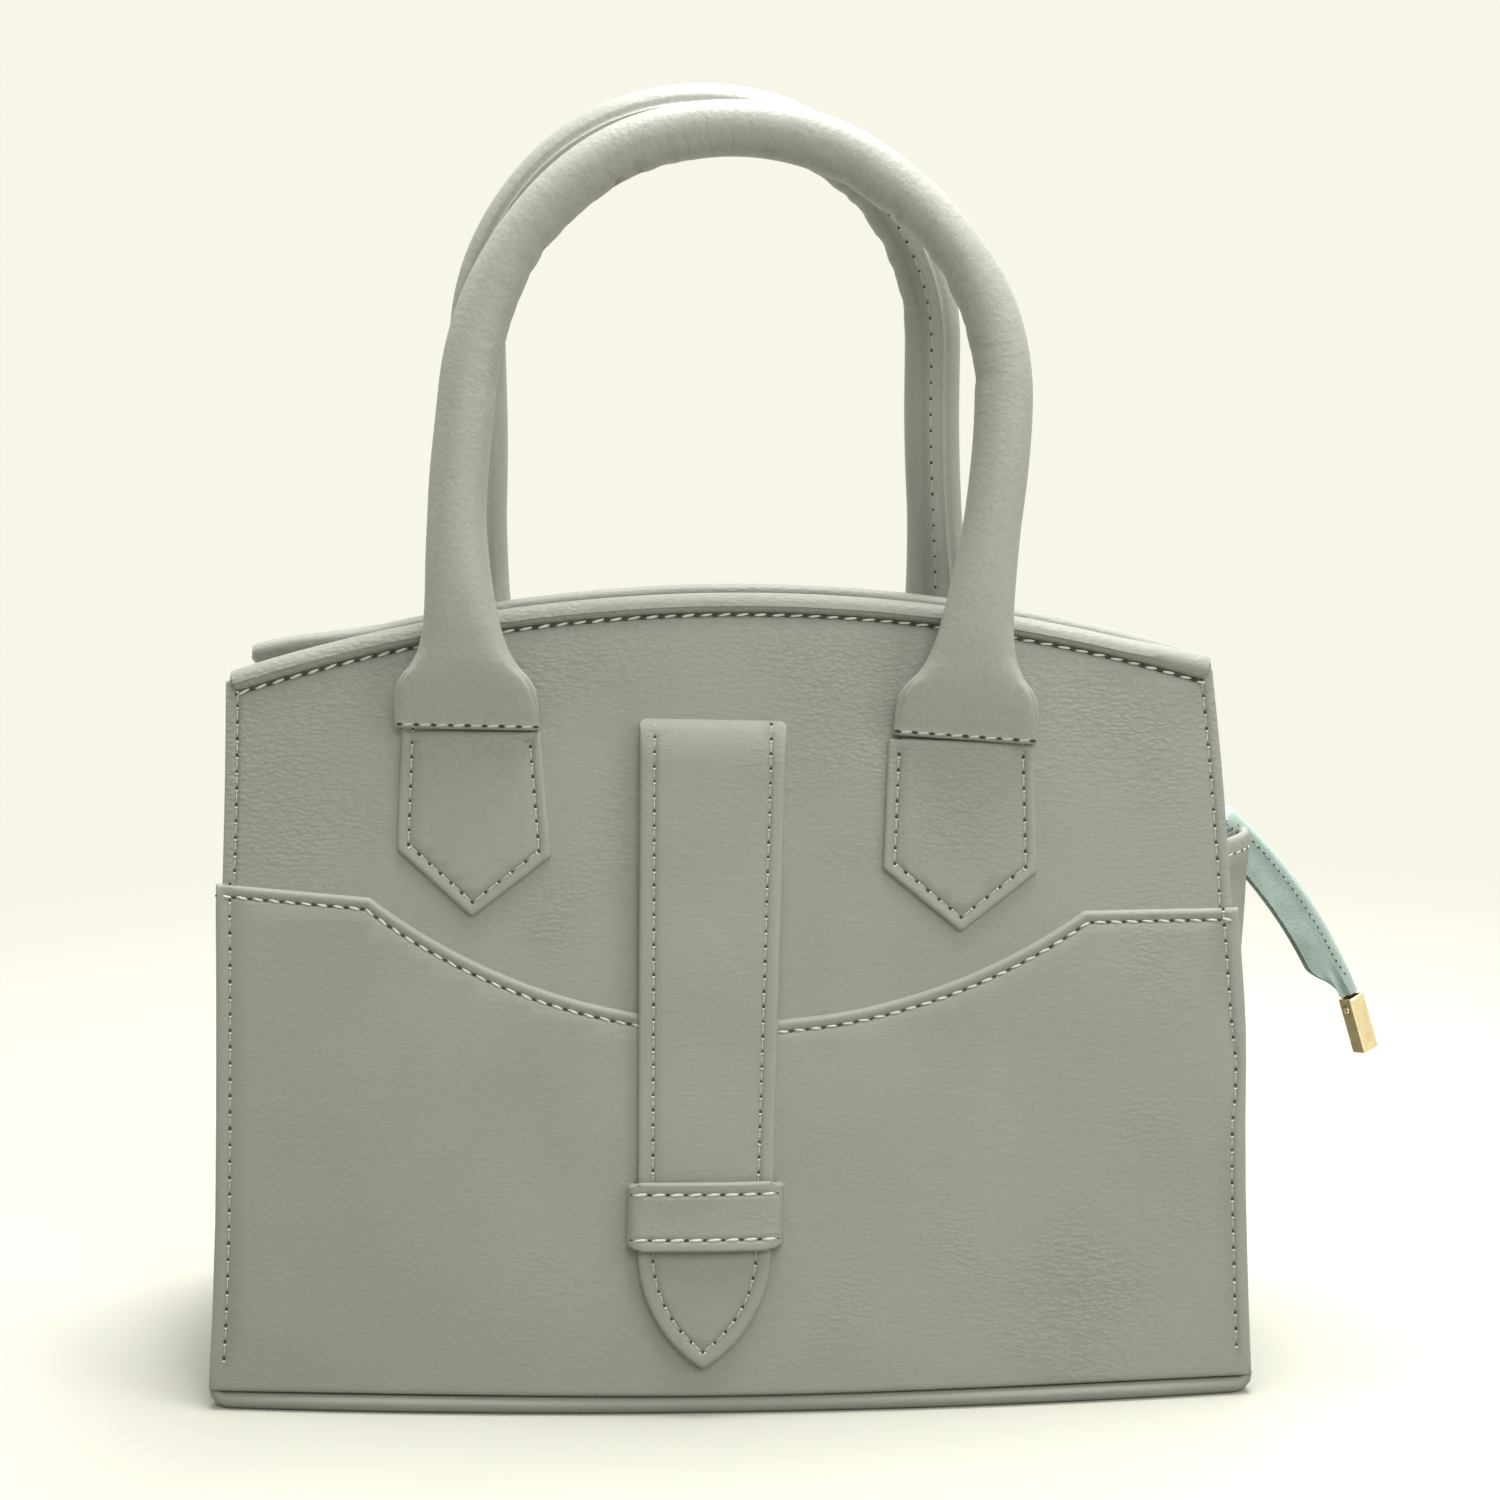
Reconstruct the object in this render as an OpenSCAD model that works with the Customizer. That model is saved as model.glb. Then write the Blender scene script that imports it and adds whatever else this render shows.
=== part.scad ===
// Structured top handle bag in leather, millimetres.
// Origin on the floor below the middle of the base, X to the right, the front faces -Y, Z up.
// The front and rear walls are stiff sheets bent on a wide cone: bowed out at the foot, nearly flat
// at the mouth. Whatever is sewn to a wall is an outline cut from a layer of that same cone.

/* [Body] */
// Width across the foot of the front panel
base_w = 260; // [220:1:300]
// Width across the mouth corners of the front panel
top_w = 250; // [210:1:258]
// Depth between the feet of front and rear panels at the side seams
base_d = 104; // [90:1:130]
// How far the foot of a panel bows out in its middle
front_bow = 8; // [3:0.5:12]
// Height of a side seam, along the slope
side_h = 181; // [165:1:200]
// Rise of the mouth edge from its corners to its middle
crown_h = 19; // [8:0.5:26]
// Tilt of the panel's reference plane in degrees
lean = 7.4; // [5:0.1:9]
// Distance of the cone's apex below the foot
apex_drop = 63; // [50:1:120]

/* [Leather and lining] */
// Thickness of the outer leather
leather_t = 1.8; // [1.2:0.1:2.2]
// Thickness of the stiffening boards in the walls
board_t = 1.2; // [0.8:0.1:2]
// Thickness of the lining
lining_t = 0.6; // [0.4:0.1:1]
// Thickness of the lower overlay and of the tabs
overlay_t = 1.6; // [1:0.1:2]
// Thickness of the rolled mouth binding
binding_t = 1.1; // [0.8:0.1:1.5]
// Height of the rolled mouth binding
binding_h = 5.5; // [4:0.5:8]
// Diameter of the piping round the foot
piping_d = 4.2; // [3.6:0.1:5]
// Width of the seam flange of a gusset
flange_w = 8; // [6:0.5:10]

/* [Overlay] */
// Height of the overlay's shoulders, along the slope
overlay_h = 120; // [112:1:124]
// Depth of the dip in the overlay's upper edge
overlay_dip = 29; // [18:1:32]
// Half width of the dip
dip_half_w = 90; // [80:1:100]
// Slant of the overlay's upper edge in degrees, its right end lower
overlay_slant = 1.7; // [0:0.1:2.5]

/* [Strap] */
// Width of the strap at its sewn upper end
strap_top_w = 37; // [32:0.5:42]
// Width of the strap at the keeper
strap_w = 33; // [26:0.5:36]
// Thickness of the strap
strap_t = 2.8; // [2:0.1:3.4]
// Height of the strap's upper end, along the slope
strap_top_s = 167.5; // [160:0.5:172]
// Height of the strap's tip, along the slope
strap_tip_s = 7.5; // [3:0.5:12]
// Height where the strap's pointed end begins
strap_point_s = 36; // [30:0.5:40]
// Sideways place of the strap's upper end
strap_x = -3.1; // [-6:0.1:0]
// Slant of the strap in degrees
strap_slant = 1.6; // [0:0.1:2]
// Height of the folded end under the strap's top
strap_fold_h = 14; // [10:0.5:18]
// Height of the keeper's lower edge, along the slope
keeper_s = 36.5; // [32:0.5:60]
// Height of the keeper
keeper_h = 16.8; // [12:0.2:20]
// Thickness of the keeper
keeper_t = 1.6; // [1.2:0.1:2]

/* [Handles] */
// Diameter of a rolled handle
handle_d = 14.6; // [13:0.1:17]
// Thickness of a handle's cover
cover_t = 1.4; // [1:0.1:2]
// Distance between the two tabs of one handle
tab_spacing = 124; // [110:1:130]
// Width of a tab
tab_w = 38.5; // [34:0.5:42]
// Height of the handles' hinge line, along the slope
hinge_s = 165; // [158:1:170]
// Height of a tab's lower shoulders, along the slope
tab_shoulder_s = 132; // [130:1:138]
// Height of a tab's point, along the slope
tab_tip_s = 115.5; // [113:0.5:118]
// Lean of the handles towards each other in degrees
handle_lean = 7.3; // [7:0.1:7.4]
// Sideways place of the front handle and its tabs
front_handle_x = -1.8; // [-4:0.1:4]
// Slant of the front handle and its tabs in degrees, the right foot lower
front_handle_slant = 1.8; // [0:0.1:2.5]
// Half thickness of a handle's sewn foot
foot_r = 2.2; // [1.8:0.1:2.4]
// Radius of the front handle's arch at its centre line
front_arch_r = 66.4; // [64:0.2:72]
// Sideways shift of the front handle's arch
front_arch_x = 3.2; // [-4:0.2:4]
// Height of the front handle's arch centre above the hinge
front_arch_v = 83.6; // [80:0.2:96]
// Height over which the front handle's left leg leans out
front_left_rise = 36; // [28:1:80]
// How far the front handle's left leg bows out above its foot
front_left_bow = 2.6; // [0:0.2:4]
// Height over which the other legs lean out
leg_rise = 83; // [60:1:88]
// Sideways place of the rear handle and its tabs
rear_handle_x = -3.6; // [-6:0.1:2]
// Radius of the rear handle's arch at its centre line
rear_arch_r = 59.8; // [58:0.2:66]
// Sideways shift of the rear handle's arch
rear_arch_x = -0.4; // [-4:0.2:4]
// Height of the rear handle's arch centre above the hinge
rear_arch_v = 96.4; // [90:0.2:106]

/* [Zip] */
// Height of the zip's facing strips
zip_z = 141; // [138:0.5:146]
// Length of the folding flaps
flap_len = 160; // [130:1:164]
// Distance of the flaps' hinge lines from the middle plane
flap_hinge_y = 20; // [18:0.5:20.5]
// Distance of the facing strips' inner edges from the middle plane
facing_inner_y = 11.5; // [9:0.5:12.5]
// Thickness of the facing strips
facing_t = 1.4; // [1:0.1:1.6]
// Thickness of the zip tape
tape_t = 0.8; // [0.5:0.1:1]
// Diameter of each half of the coil
coil_d = 2.6; // [2:0.1:3]
// Slit between the two halves of the coil
coil_slit = 1.2; // [1:0.1:1.6]
// Length of the slider
slider_len = 14; // [11:0.5:15]
// Width of the slider
slider_w = 11; // [10:0.5:12]
// Length of the puller, from its pin
puller_len = 20; // [14:0.5:20.5]
// Width of the puller
puller_w = 6.5; // [5:0.5:8]

/* [Zip tail] */
// Length of the tail's arc along its outer edge
tail_len = 55; // [44:1:64]
// Slope of the tail where it leaves the hem, in degrees
tail_start = 44; // [38:1:50]
// Turn of the tail along its arc, in degrees
tail_sweep = 23; // [12:1:30]
// Width of the folded tape of the tail
tail_w = 10.8; // [9:0.2:13]
// Thickness of the folded tape of the tail
tail_t = 2.4; // [1.6:0.1:3]
// Length of the end clamp
clamp_l = 15.6; // [12:0.2:18]
// Width of the end clamp
clamp_w = 5.6; // [5:0.2:7]
// Thickness of the end clamp
clamp_t = 4.6; // [4:0.2:6]
// Wall of the end clamp
clamp_wall = 0.9; // [0.6:0.1:1.2]
// Chamfer on the end clamp's edges
clamp_chamfer = 0.5; // [0.2:0.1:0.8]
// Radius of the clamp's set screw
screw_r = 1; // [0.8:0.1:1.3]
// Bend between the tape and the clamp, in degrees
clamp_turn = 5.5; // [0:0.5:12]
// Turn of the clamp about its own length, in degrees
clamp_roll = 33; // [0:1:45]

/* [Hidden] */
$fn = 96;

// Colours as the photograph shows them
leather_colour = [0.58, 0.60, 0.56];
handle_colour = [0.66, 0.67, 0.63];
board_colour = [0.75, 0.70, 0.60];
lining_colour = [0.52, 0.55, 0.52];
teal_colour = [0.51, 0.65, 0.62];
gold_colour = [0.85, 0.70, 0.45];

// Clearances and overruns
gap = 0.1;
run_gap = 0.3;
over = 1;
wide_fn = 256;

// The cone on which a wall is bent
half_w = base_w / 2;
cone_slope = front_bow / (norm([half_w, apex_drop]) - apex_drop);
wall_t = leather_t + board_t + lining_t;
seam_inset = 1;
seat_z = piping_d;
foot_y = base_d / 2 + front_bow;
crown_s = side_h + crown_h;
cone_r_in = apex_drop / 2;
cone_r_out = norm([half_w, apex_drop + crown_s]) + binding_h;

// Height off the reference plane of the outer face, at x and s
function face_n(x, s) = cone_slope * (apex_drop - norm([x, s + apex_drop]));
// A place on the front wall in the bag's frame
function wall_point(x, s, n) = [x, s * sin(lean) - n * cos(lean) - foot_y,
    seat_z + s * cos(lean) + n * sin(lean)];
// The slope height at which a layer that lies depth behind the face passes height z
settle_steps = 6;
function wall_s(x, z, depth, step = settle_steps) = step == 0 ? z - seat_z :
    (z - seat_z - (face_n(x, wall_s(x, z, depth, step - 1)) - depth) * sin(lean)) / cos(lean);
// Distance of that layer from the middle plane at height z
function wall_y(x, z, depth) = let(s = wall_s(x, z, depth))
    -wall_point(x, s, face_n(x, s) - depth)[1];
// Half width of a panel at slope height s
function edge_x(s) = half_w - (base_w - top_w) / 2 * s / side_h;

module on_front() {
    translate([0, -foot_y, seat_z]) rotate([90 - lean, 0, 0]) children();
}

module on_rear() {
    mirror([0, 1, 0]) on_front() children();
}

// A layer of the cone from one height off the face to another, cut to the children's outline
module layer(from, to) {
    r_in_n = cone_slope * (apex_drop - cone_r_in);
    r_out_n = cone_slope * (apex_drop - cone_r_out);
    intersection() {
        translate([0, -apex_drop, 0]) rotate_extrude(angle = 180, $fn = wide_fn)
            polygon([[cone_r_in, r_in_n + from], [cone_r_out, r_out_n + from],
                [cone_r_out, r_out_n + to], [cone_r_in, r_in_n + to]]);
        translate([0, 0, r_out_n + from - over])
            linear_extrude(height = r_in_n - r_out_n + to - from + 2 * over) children();
    }
}

// Cuts away whatever lies below the foot of the walls
module above_seat() {
    difference() {
        children();
        translate([-base_w, -base_d * 2, -base_d]) cube([base_w * 2, base_d * 4, base_d + seat_z]);
    }
}

// Circle through the two mouth corners and the crown
crown_half = top_w / 2;
crown_r = (pow(crown_half, 2) + pow(crown_h, 2)) / (2 * crown_h);
module crown_disc(grow = 0) {
    translate([0, crown_s - crown_r]) circle(r = crown_r + grow, $fn = wide_fn);
}

// Outline of a wall, set in from the side seams and let down from the mouth edge
module wall_outline(inset = 0, drop = 0) {
    foot = half_w - inset;
    slope = (base_w - top_w) / 2 / side_h;
    intersection() {
        polygon([[-foot, 0], [-foot - slope * binding_h, -binding_h],
            [foot + slope * binding_h, -binding_h], [foot, 0],
            [foot - slope * crown_s, crown_s + over], [slope * crown_s - foot, crown_s + over]]);
        crown_disc(-drop);
    }
}

module wall_sheet(from, to, inset = 0, drop = 0) {
    layer(from, to) wall_outline(inset, drop);
}

module front_panel() {
    color(leather_colour) above_seat() on_front() wall_sheet(-leather_t, 0);
}

module rear_panel() {
    color(leather_colour) above_seat() on_rear() wall_sheet(-leather_t, 0);
}

board_inset = flange_w + 2.5 * board_t;
module wall_board() {
    wall_sheet(-leather_t - board_t, -leather_t, board_inset, binding_h);
}

module front_board() {
    color(board_colour) above_seat() on_front() wall_board();
}

module rear_board() {
    color(board_colour) above_seat() on_rear() wall_board();
}

lining_inset = seam_inset + leather_t + gap;
module wall_lining() {
    wall_sheet(-wall_t, -leather_t - board_t, lining_inset, 0);
}

module front_lining() {
    color(lining_colour) above_seat() on_front() wall_lining();
}

module rear_lining() {
    color(lining_colour) above_seat() on_rear() wall_lining();
}

// The mouth edge is rolled over: a flange outside, a cap on the edge and a flange inside
module top_binding() {
    layer(0, binding_t) binding_band(-binding_h, 0);
    layer(-wall_t - binding_t, binding_t) binding_band(0, binding_t);
    layer(-wall_t - binding_t, -wall_t) binding_band(-binding_h, 0);
}

module binding_band(from, to) {
    difference() {
        intersection() {
            crown_disc(to);
            polygon([[-crown_half - binding_t, side_h - 2 * binding_h],
                [crown_half + binding_t, side_h - 2 * binding_h],
                [crown_half + binding_t, crown_s + binding_h],
                [-crown_half - binding_t, crown_s + binding_h]]);
        }
        crown_disc(from);
    }
}

module front_top_binding() {
    color(leather_colour) on_front() top_binding();
}

module rear_top_binding() {
    color(leather_colour) on_rear() top_binding();
}

// Lower panel sewn over the front, with a dip cut by one wide circle
overlay_grow = 0.8;
dip_r = (pow(dip_half_w, 2) + pow(overlay_dip, 2)) / (2 * overlay_dip);
module overlay_outline() {
    slope = (base_w - top_w) / 2 / side_h;
    foot = half_w + overlay_grow;
    left_s = overlay_h + foot * tan(overlay_slant);
    right_s = overlay_h - foot * tan(overlay_slant);
    difference() {
        polygon([[-foot - slope * binding_h, -binding_h], [foot + slope * binding_h, -binding_h],
            [foot - slope * right_s, right_s], [slope * left_s - foot, left_s]]);
        translate([0, overlay_h]) rotate(-overlay_slant) translate([0, dip_r - overlay_dip])
            circle(r = dip_r, $fn = wide_fn);
    }
}

module front_overlay() {
    color(leather_colour) above_seat() on_front() layer(0, overlay_t) overlay_outline();
}

// Strap: tapered, with a pointed arch for its end, and a folded end under its top
strap_half = strap_w / 2;
point_h = strap_point_s - strap_tip_s;
point_r = (pow(strap_half, 2) + pow(point_h, 2)) / (2 * strap_half);
straight_h = strap_top_s - strap_point_s;
module strap_outline() {
    strap_band(0, straight_h);
    on_strap_top() translate([0, -straight_h]) intersection() {
        translate([point_r - strap_half, 0]) circle(r = point_r, $fn = wide_fn);
        translate([strap_half - point_r, 0]) circle(r = point_r, $fn = wide_fn);
        translate([-strap_half, -point_h - over]) square([strap_w, point_h + over]);
    }
}

module on_strap_top() {
    translate([strap_x, strap_top_s]) rotate(-strap_slant) children();
}

module strap_band(grow, length) {
    on_strap_top() polygon([[-strap_half - grow, -length], [strap_half + grow, -length],
        [strap_top_w / 2 + grow, 0], [-strap_top_w / 2 - grow, 0]]);
}

module strap() {
    color(leather_colour) on_front() {
        layer(overlay_t, overlay_t + strap_t) strap_outline();
        layer(0, overlay_t) intersection() {
            strap_outline();
            translate([-strap_top_w, strap_top_s - strap_fold_h])
                square([strap_top_w * 2, strap_fold_h + over]);
        }
    }
}

// Keeper: a band over the strap whose two ends go down to the overlay
keeper_leg = 2.4;
module keeper_zone() {
    translate([-strap_top_w * 2, keeper_s]) square([strap_top_w * 4, keeper_h]);
}

module strap_keeper() {
    leg_top = overlay_t + strap_t + run_gap;
    color(leather_colour) on_front() difference() {
        layer(overlay_t, leg_top + keeper_t) intersection() {
            strap_band(run_gap + keeper_leg, strap_top_s);
            keeper_zone();
        }
        layer(overlay_t - over, leg_top) strap_band(run_gap, strap_top_s);
    }
}

// Tabs under the feet of the handles
tab_top_s = hinge_s - foot_r - run_gap;
tab_half = tab_w / 2;
module handle_tab(side, handle_x = 0, slant = 0) {
    layer(0, overlay_t) translate([handle_x, hinge_s]) rotate(-slant)
        translate([side * tab_spacing / 2, -hinge_s])
            polygon([[-tab_half, tab_top_s], [-tab_half, tab_shoulder_s], [0, tab_tip_s],
                [tab_half, tab_shoulder_s], [tab_half, tab_top_s]]);
}

module front_left_tab() {
    color(leather_colour) on_front() handle_tab(-1, front_handle_x, front_handle_slant);
}

module front_right_tab() {
    color(leather_colour) on_front() handle_tab(1, front_handle_x, front_handle_slant);
}

module rear_left_tab() {
    color(leather_colour) on_rear() handle_tab(-1, rear_handle_x);
}

module rear_right_tab() {
    color(leather_colour) on_rear() handle_tab(1, rear_handle_x);
}

// A closed body through a list of rings or sections with equal numbers of points
module skin(sections) {
    count = len(sections[0]);
    last = len(sections) - 1;
    sides = [for (i = [0:last - 1]) for (j = [0:count - 1]) let(k = (j + 1) % count)
        each [[i * count + j, (i + 1) * count + j, (i + 1) * count + k],
            [i * count + j, (i + 1) * count + k, i * count + k]]];
    ends = [[for (j = [0:count - 1]) j], [for (j = [0:count - 1]) last * count + count - 1 - j]];
    polyhedron(points = [for (ring = sections) each ring], faces = concat(sides, ends));
}

// The same for sections that are a thin band: first its outer edge, then its inner edge back again
module band_skin(sections) {
    count = len(sections[0]);
    half = count / 2;
    last = (len(sections) - 1) * count;
    sides = [for (i = [0:len(sections) - 2]) for (j = [0:count - 1]) let(k = (j + 1) % count)
        each [[i * count + j, (i + 1) * count + j, (i + 1) * count + k],
            [i * count + j, (i + 1) * count + k, i * count + k]]];
    ends = [for (i = [0:half - 2]) let(j = i + 1, m = count - 1 - i, k = count - 2 - i)
        each [[i, j, k], [i, k, m], [last + i, last + k, last + j], [last + i, last + m, last + k]]];
    polyhedron(points = [for (section = sections) each section], faces = concat(sides, ends));
}

// Gussets: each cross-section has two seam flanges and a wall. The right one bulges out towards its hem,
// where the zip's tail lies in it, and the left one is drawn in
gusset_t = 1.4;
flange_t = board_t - 2 * gap;
hem_z = zip_z - facing_t - 3 * coil_d / 2;
bulge_foot = 1.5;
bulge_hem = 11;
left_bulge_hem = 2;
gusset_rows = 8;
gusset_cols = 10;
function gusset_z(i) = seat_z + (hem_z - seat_z) * i / gusset_rows;
function gusset_bulge(z, at_hem) = bulge_foot + (at_hem - bulge_foot) * (z - seat_z) / (hem_z - seat_z);
function gusset_edge(z) = edge_x(wall_s(half_w, z, leather_t)) - seam_inset;
function gusset_path(z, setback, reach, at_hem) = [for (j = [0:gusset_cols])
    let(u = 2 * j / gusset_cols - 1)
    [gusset_edge(z) - setback + gusset_bulge(z, at_hem) * (1 - u * u), u * reach, z]];
function reversed(list) = [for (i = [len(list) - 1:-1:0]) list[i]];

function flange_tip(z, side, depth) = let(x = gusset_edge(z) - flange_w)
    [x, side * wall_y(x, z, depth), z];

function gusset_section(z, at_hem) = let(
    outer_reach = wall_y(gusset_edge(z), z, leather_t + gap),
    inner_reach = wall_y(gusset_edge(z), z, leather_t + gap + flange_t))
    concat([flange_tip(z, -1, leather_t + gap)], gusset_path(z, 0, outer_reach, at_hem),
        [flange_tip(z, 1, leather_t + gap), flange_tip(z, 1, leather_t + gap + flange_t)],
        reversed(gusset_path(z, gusset_t, inner_reach, at_hem)),
        [flange_tip(z, -1, leather_t + gap + flange_t)]);

module gusset(at_hem) {
    band_skin([for (i = [0:gusset_rows]) gusset_section(gusset_z(i), at_hem)]);
}

module right_gusset() {
    color(leather_colour) gusset(bulge_hem);
}

module left_gusset() {
    color(leather_colour) mirror([1, 0, 0]) gusset(left_bulge_hem);
}

function side_lining_section(z, at_hem) = let(
    reach = wall_y(gusset_edge(z) - gusset_t, z, wall_t + gap))
    concat(gusset_path(z, gusset_t + gap, reach, at_hem),
        reversed(gusset_path(z, gusset_t + gap + lining_t, reach, at_hem)));

module side_lining(at_hem) {
    band_skin([for (i = [0:gusset_rows]) side_lining_section(gusset_z(i), at_hem)]);
}

module right_lining() {
    color(lining_colour) side_lining(bulge_hem);
}

module left_lining() {
    color(lining_colour) mirror([1, 0, 0]) side_lining(left_bulge_hem);
}

// The foot: piping on wide arcs, and a base tray with a rim between them
piping_y = foot_y - leather_t / 2;
foot_r_wide = (pow(half_w, 2) + pow(front_bow, 2)) / (2 * front_bow);
piping_angle = asin((half_w - piping_d / 4) / foot_r_wide);
module piping() {
    translate([0, foot_r_wide - piping_y, piping_d / 2]) {
        rotate(-90 - piping_angle) rotate_extrude(angle = 2 * piping_angle, $fn = wide_fn)
            translate([foot_r_wide, 0]) circle(d = piping_d);
        for (side = [-1, 1]) rotate(-90 + side * piping_angle) translate([foot_r_wide, 0, 0])
            sphere(d = piping_d - gap);
    }
}

module front_piping() {
    color(leather_colour) piping();
}

module rear_piping() {
    color(leather_colour) mirror([0, 1, 0]) piping();
}

module foot_outline(inset, side_inset) {
    intersection() {
        square([2 * (half_w - side_inset), base_d * 2], center = true);
        translate([0, foot_r_wide - piping_y]) circle(r = foot_r_wide - inset, $fn = wide_fn);
        translate([0, piping_y - foot_r_wide]) circle(r = foot_r_wide - inset, $fn = wide_fn);
    }
}

rim_t = 3;
base_inset = piping_d / 2 + gap;
module base_panel() {
    color(leather_colour) difference() {
        linear_extrude(height = seat_z) foot_outline(base_inset, 0);
        translate([0, 0, leather_t]) linear_extrude(height = seat_z) foot_outline(base_inset + rim_t, rim_t);
    }
}

module base_board() {
    color(board_colour) translate([0, 0, leather_t])
        linear_extrude(height = seat_z - leather_t) foot_outline(base_inset + rim_t + gap, rim_t + gap);
}

base_lining_inset = wall_t + 3 * lining_t;
base_lining_side = seam_inset + gusset_t + lining_t + 2 * gap;
module base_lining() {
    color(lining_colour) translate([0, 0, seat_z])
        linear_extrude(height = lining_t) foot_outline(base_lining_inset, base_lining_side);
}

// Handles: a half ring between two lofted legs that flatten into sewn feet
foot_inner_x = tab_spacing / 2 - tab_half;
// Height of the face under the inner end of a foot, side -1 for the left one and 1 for the right one
function foot_face(side, handle_x, slant) =
    face_n(handle_x + side * foot_inner_x, hinge_s - side * foot_inner_x * sin(slant));
function hinge_at(handle_x = 0, slant = 0) = wall_point(handle_x, hinge_s,
    max(foot_face(-1, handle_x, slant), foot_face(1, handle_x, slant)) + foot_r + run_gap);
handle_r = handle_d / 2;
core_r = handle_r - cover_t - gap;
tube_w = 4.2;
flare_h = 55;
ring_sides = 20;
height_shares = [0, 0.07, 0.15, 0.21, 0.27, 0.35, 0.48, 0.69, 1];
width_shares = [1, 1, 0.96, 0.82, 0.56, 0.35, 0.19, 0.08, 0];
depth_shares = [0, 0.06, 0.24, 0.38, 0.5, 0.62, 0.79, 0.93, 1];
offset_shares = [0, 0.1, 0.36, 0.52, 0.66, 0.8, 0.94, 1, 1];
corner_shares = [6, 6, 5, 4, 3.2, 2.6, 2.3, 2.1, 2];
rise_rings = 4;
bow_share = 0.4;
hollow_ring = 6;
// A leg's rings lie within the end face of the arch, clear of its edges
ring_inset = gap / 2;
hollow_inset = cover_t - gap;

function signed_power(value, power) = sign(value) * pow(abs(value), power);
function smooth(t) = let(c = max(0, min(1, t))) c * c * (3 - 2 * c);
// A leg is given as the x of its foot, the x and height of its upper end, its rise and its bow
function leg_x(v, leg) = leg[0] + (leg[1] - leg[0]) * smooth(v / leg[3])
    - leg[4] * smooth(v / leg[2] / bow_share) * smooth((1 - v / leg[2]) / bow_share);
function ring(v, x, w, half_x, half_y, corner) = [for (i = [0:ring_sides - 1])
    let(a = -360 * i / ring_sides)
    [x + half_x * signed_power(cos(a), 2 / corner), v, w + half_y * signed_power(sin(a), 2 / corner)]];
function flare_ring(i, inset, leg) =
    let(v = flare_h * height_shares[i])
    ring(v, leg_x(v, leg), tube_w * offset_shares[i],
        handle_r + (tab_half - gap - handle_r) * width_shares[i] - inset,
        foot_r + (handle_r - foot_r) * depth_shares[i] - inset, corner_shares[i]);
function rise_ring(i, inset, leg) =
    let(v = flare_h + (leg[2] - flare_h) * i / rise_rings)
    ring(v, leg_x(v, leg), tube_w, handle_r - inset, handle_r - inset, 2);
function leg_rings(first, inset, leg) = concat(
    [for (i = [first:len(height_shares) - 1]) flare_ring(i, inset, leg)],
    [for (i = [1:rise_rings]) rise_ring(i, inset, leg)]);
function leg_data(side, arch_r, arch_x, arch_v, left_rise, left_bow) = [side * tab_spacing / 2,
    arch_x + side * arch_r, arch_v, side < 0 ? left_rise : leg_rise, side < 0 ? left_bow : 0];

module on_hinge(handle_x = 0, slant = 0) {
    translate(hinge_at(handle_x, slant)) rotate([90 - handle_lean, 0, 0]) rotate(-slant) children();
}

module on_front_hinge() {
    on_hinge(front_handle_x, front_handle_slant) children();
}

module on_rear_hinge() {
    mirror([0, 1, 0]) on_hinge(rear_handle_x) children();
}

module arch(arch_r, arch_x, arch_v, outer_r, inner_r) {
    translate([arch_x, arch_v, tube_w]) rotate_extrude(angle = 180, $fn = wide_fn) translate([arch_r, 0])
        difference() {
            circle(r = outer_r);
            if (inner_r > 0) circle(r = inner_r);
        }
}

module handle_cover(arch_r, arch_x, arch_v, left_rise, left_bow = 0) {
    arch(arch_r, arch_x, arch_v, handle_r, handle_r - cover_t);
    for (side = [-1, 1]) {
        leg = leg_data(side, arch_r, arch_x, arch_v, left_rise, left_bow);
        skin(concat(leg_rings(0, ring_inset, leg), reversed(leg_rings(hollow_ring, hollow_inset, leg))));
        translate([leg[0] - tab_half + gap, 0, 0]) rotate([0, 90, 0])
            cylinder(r = foot_r, h = tab_w - 2 * gap);
    }
}

module handle_core(arch_r, arch_x, arch_v, left_rise, left_bow = 0) {
    arch(arch_r, arch_x, arch_v, core_r + ring_inset, 0);
    for (side = [-1, 1]) skin(leg_rings(hollow_ring, cover_t + gap,
        leg_data(side, arch_r, arch_x, arch_v, left_rise, left_bow)));
}

module front_handle_cover() {
    color(handle_colour) on_front_hinge()
        handle_cover(front_arch_r, front_arch_x, front_arch_v, front_left_rise, front_left_bow);
}

module front_handle_core() {
    color(board_colour) on_front_hinge()
        handle_core(front_arch_r, front_arch_x, front_arch_v, front_left_rise, front_left_bow);
}

module rear_handle_cover() {
    color(handle_colour) on_rear_hinge() handle_cover(rear_arch_r, rear_arch_x, rear_arch_v, leg_rise);
}

module rear_handle_core() {
    color(board_colour) on_rear_hinge() handle_core(rear_arch_r, rear_arch_x, rear_arch_v, leg_rise);
}

// Recessed zip: fixed facings at the walls and ends, folding flaps between them
facing_low = zip_z - facing_t / 2;
crease = facing_t / 2 + run_gap;
fixed_y = flap_hinge_y + crease;
facing_half = half_w - board_inset / 2;
flap_half = flap_len / 2;
end_gap = 0.5;
tape_low = facing_low - tape_t;
coil_y = coil_slit / 2 + coil_d / 2;
tape_inner_y = coil_y + coil_d / 2;
tape_outer_y = flap_hinge_y - 2 * facing_t;
coil_z = facing_low;
coil_margin = 12.6;
coil_half = facing_half - coil_margin;

module zip_facing() {
    on_wall_clear() difference() {
        translate([-facing_half, -foot_y, facing_low])
            cube([2 * facing_half, foot_y - facing_inner_y, facing_t]);
        translate([-flap_half - end_gap, -fixed_y, facing_low - over])
            cube([2 * (flap_half + end_gap), fixed_y, facing_t + 2 * over]);
    }
}

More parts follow.
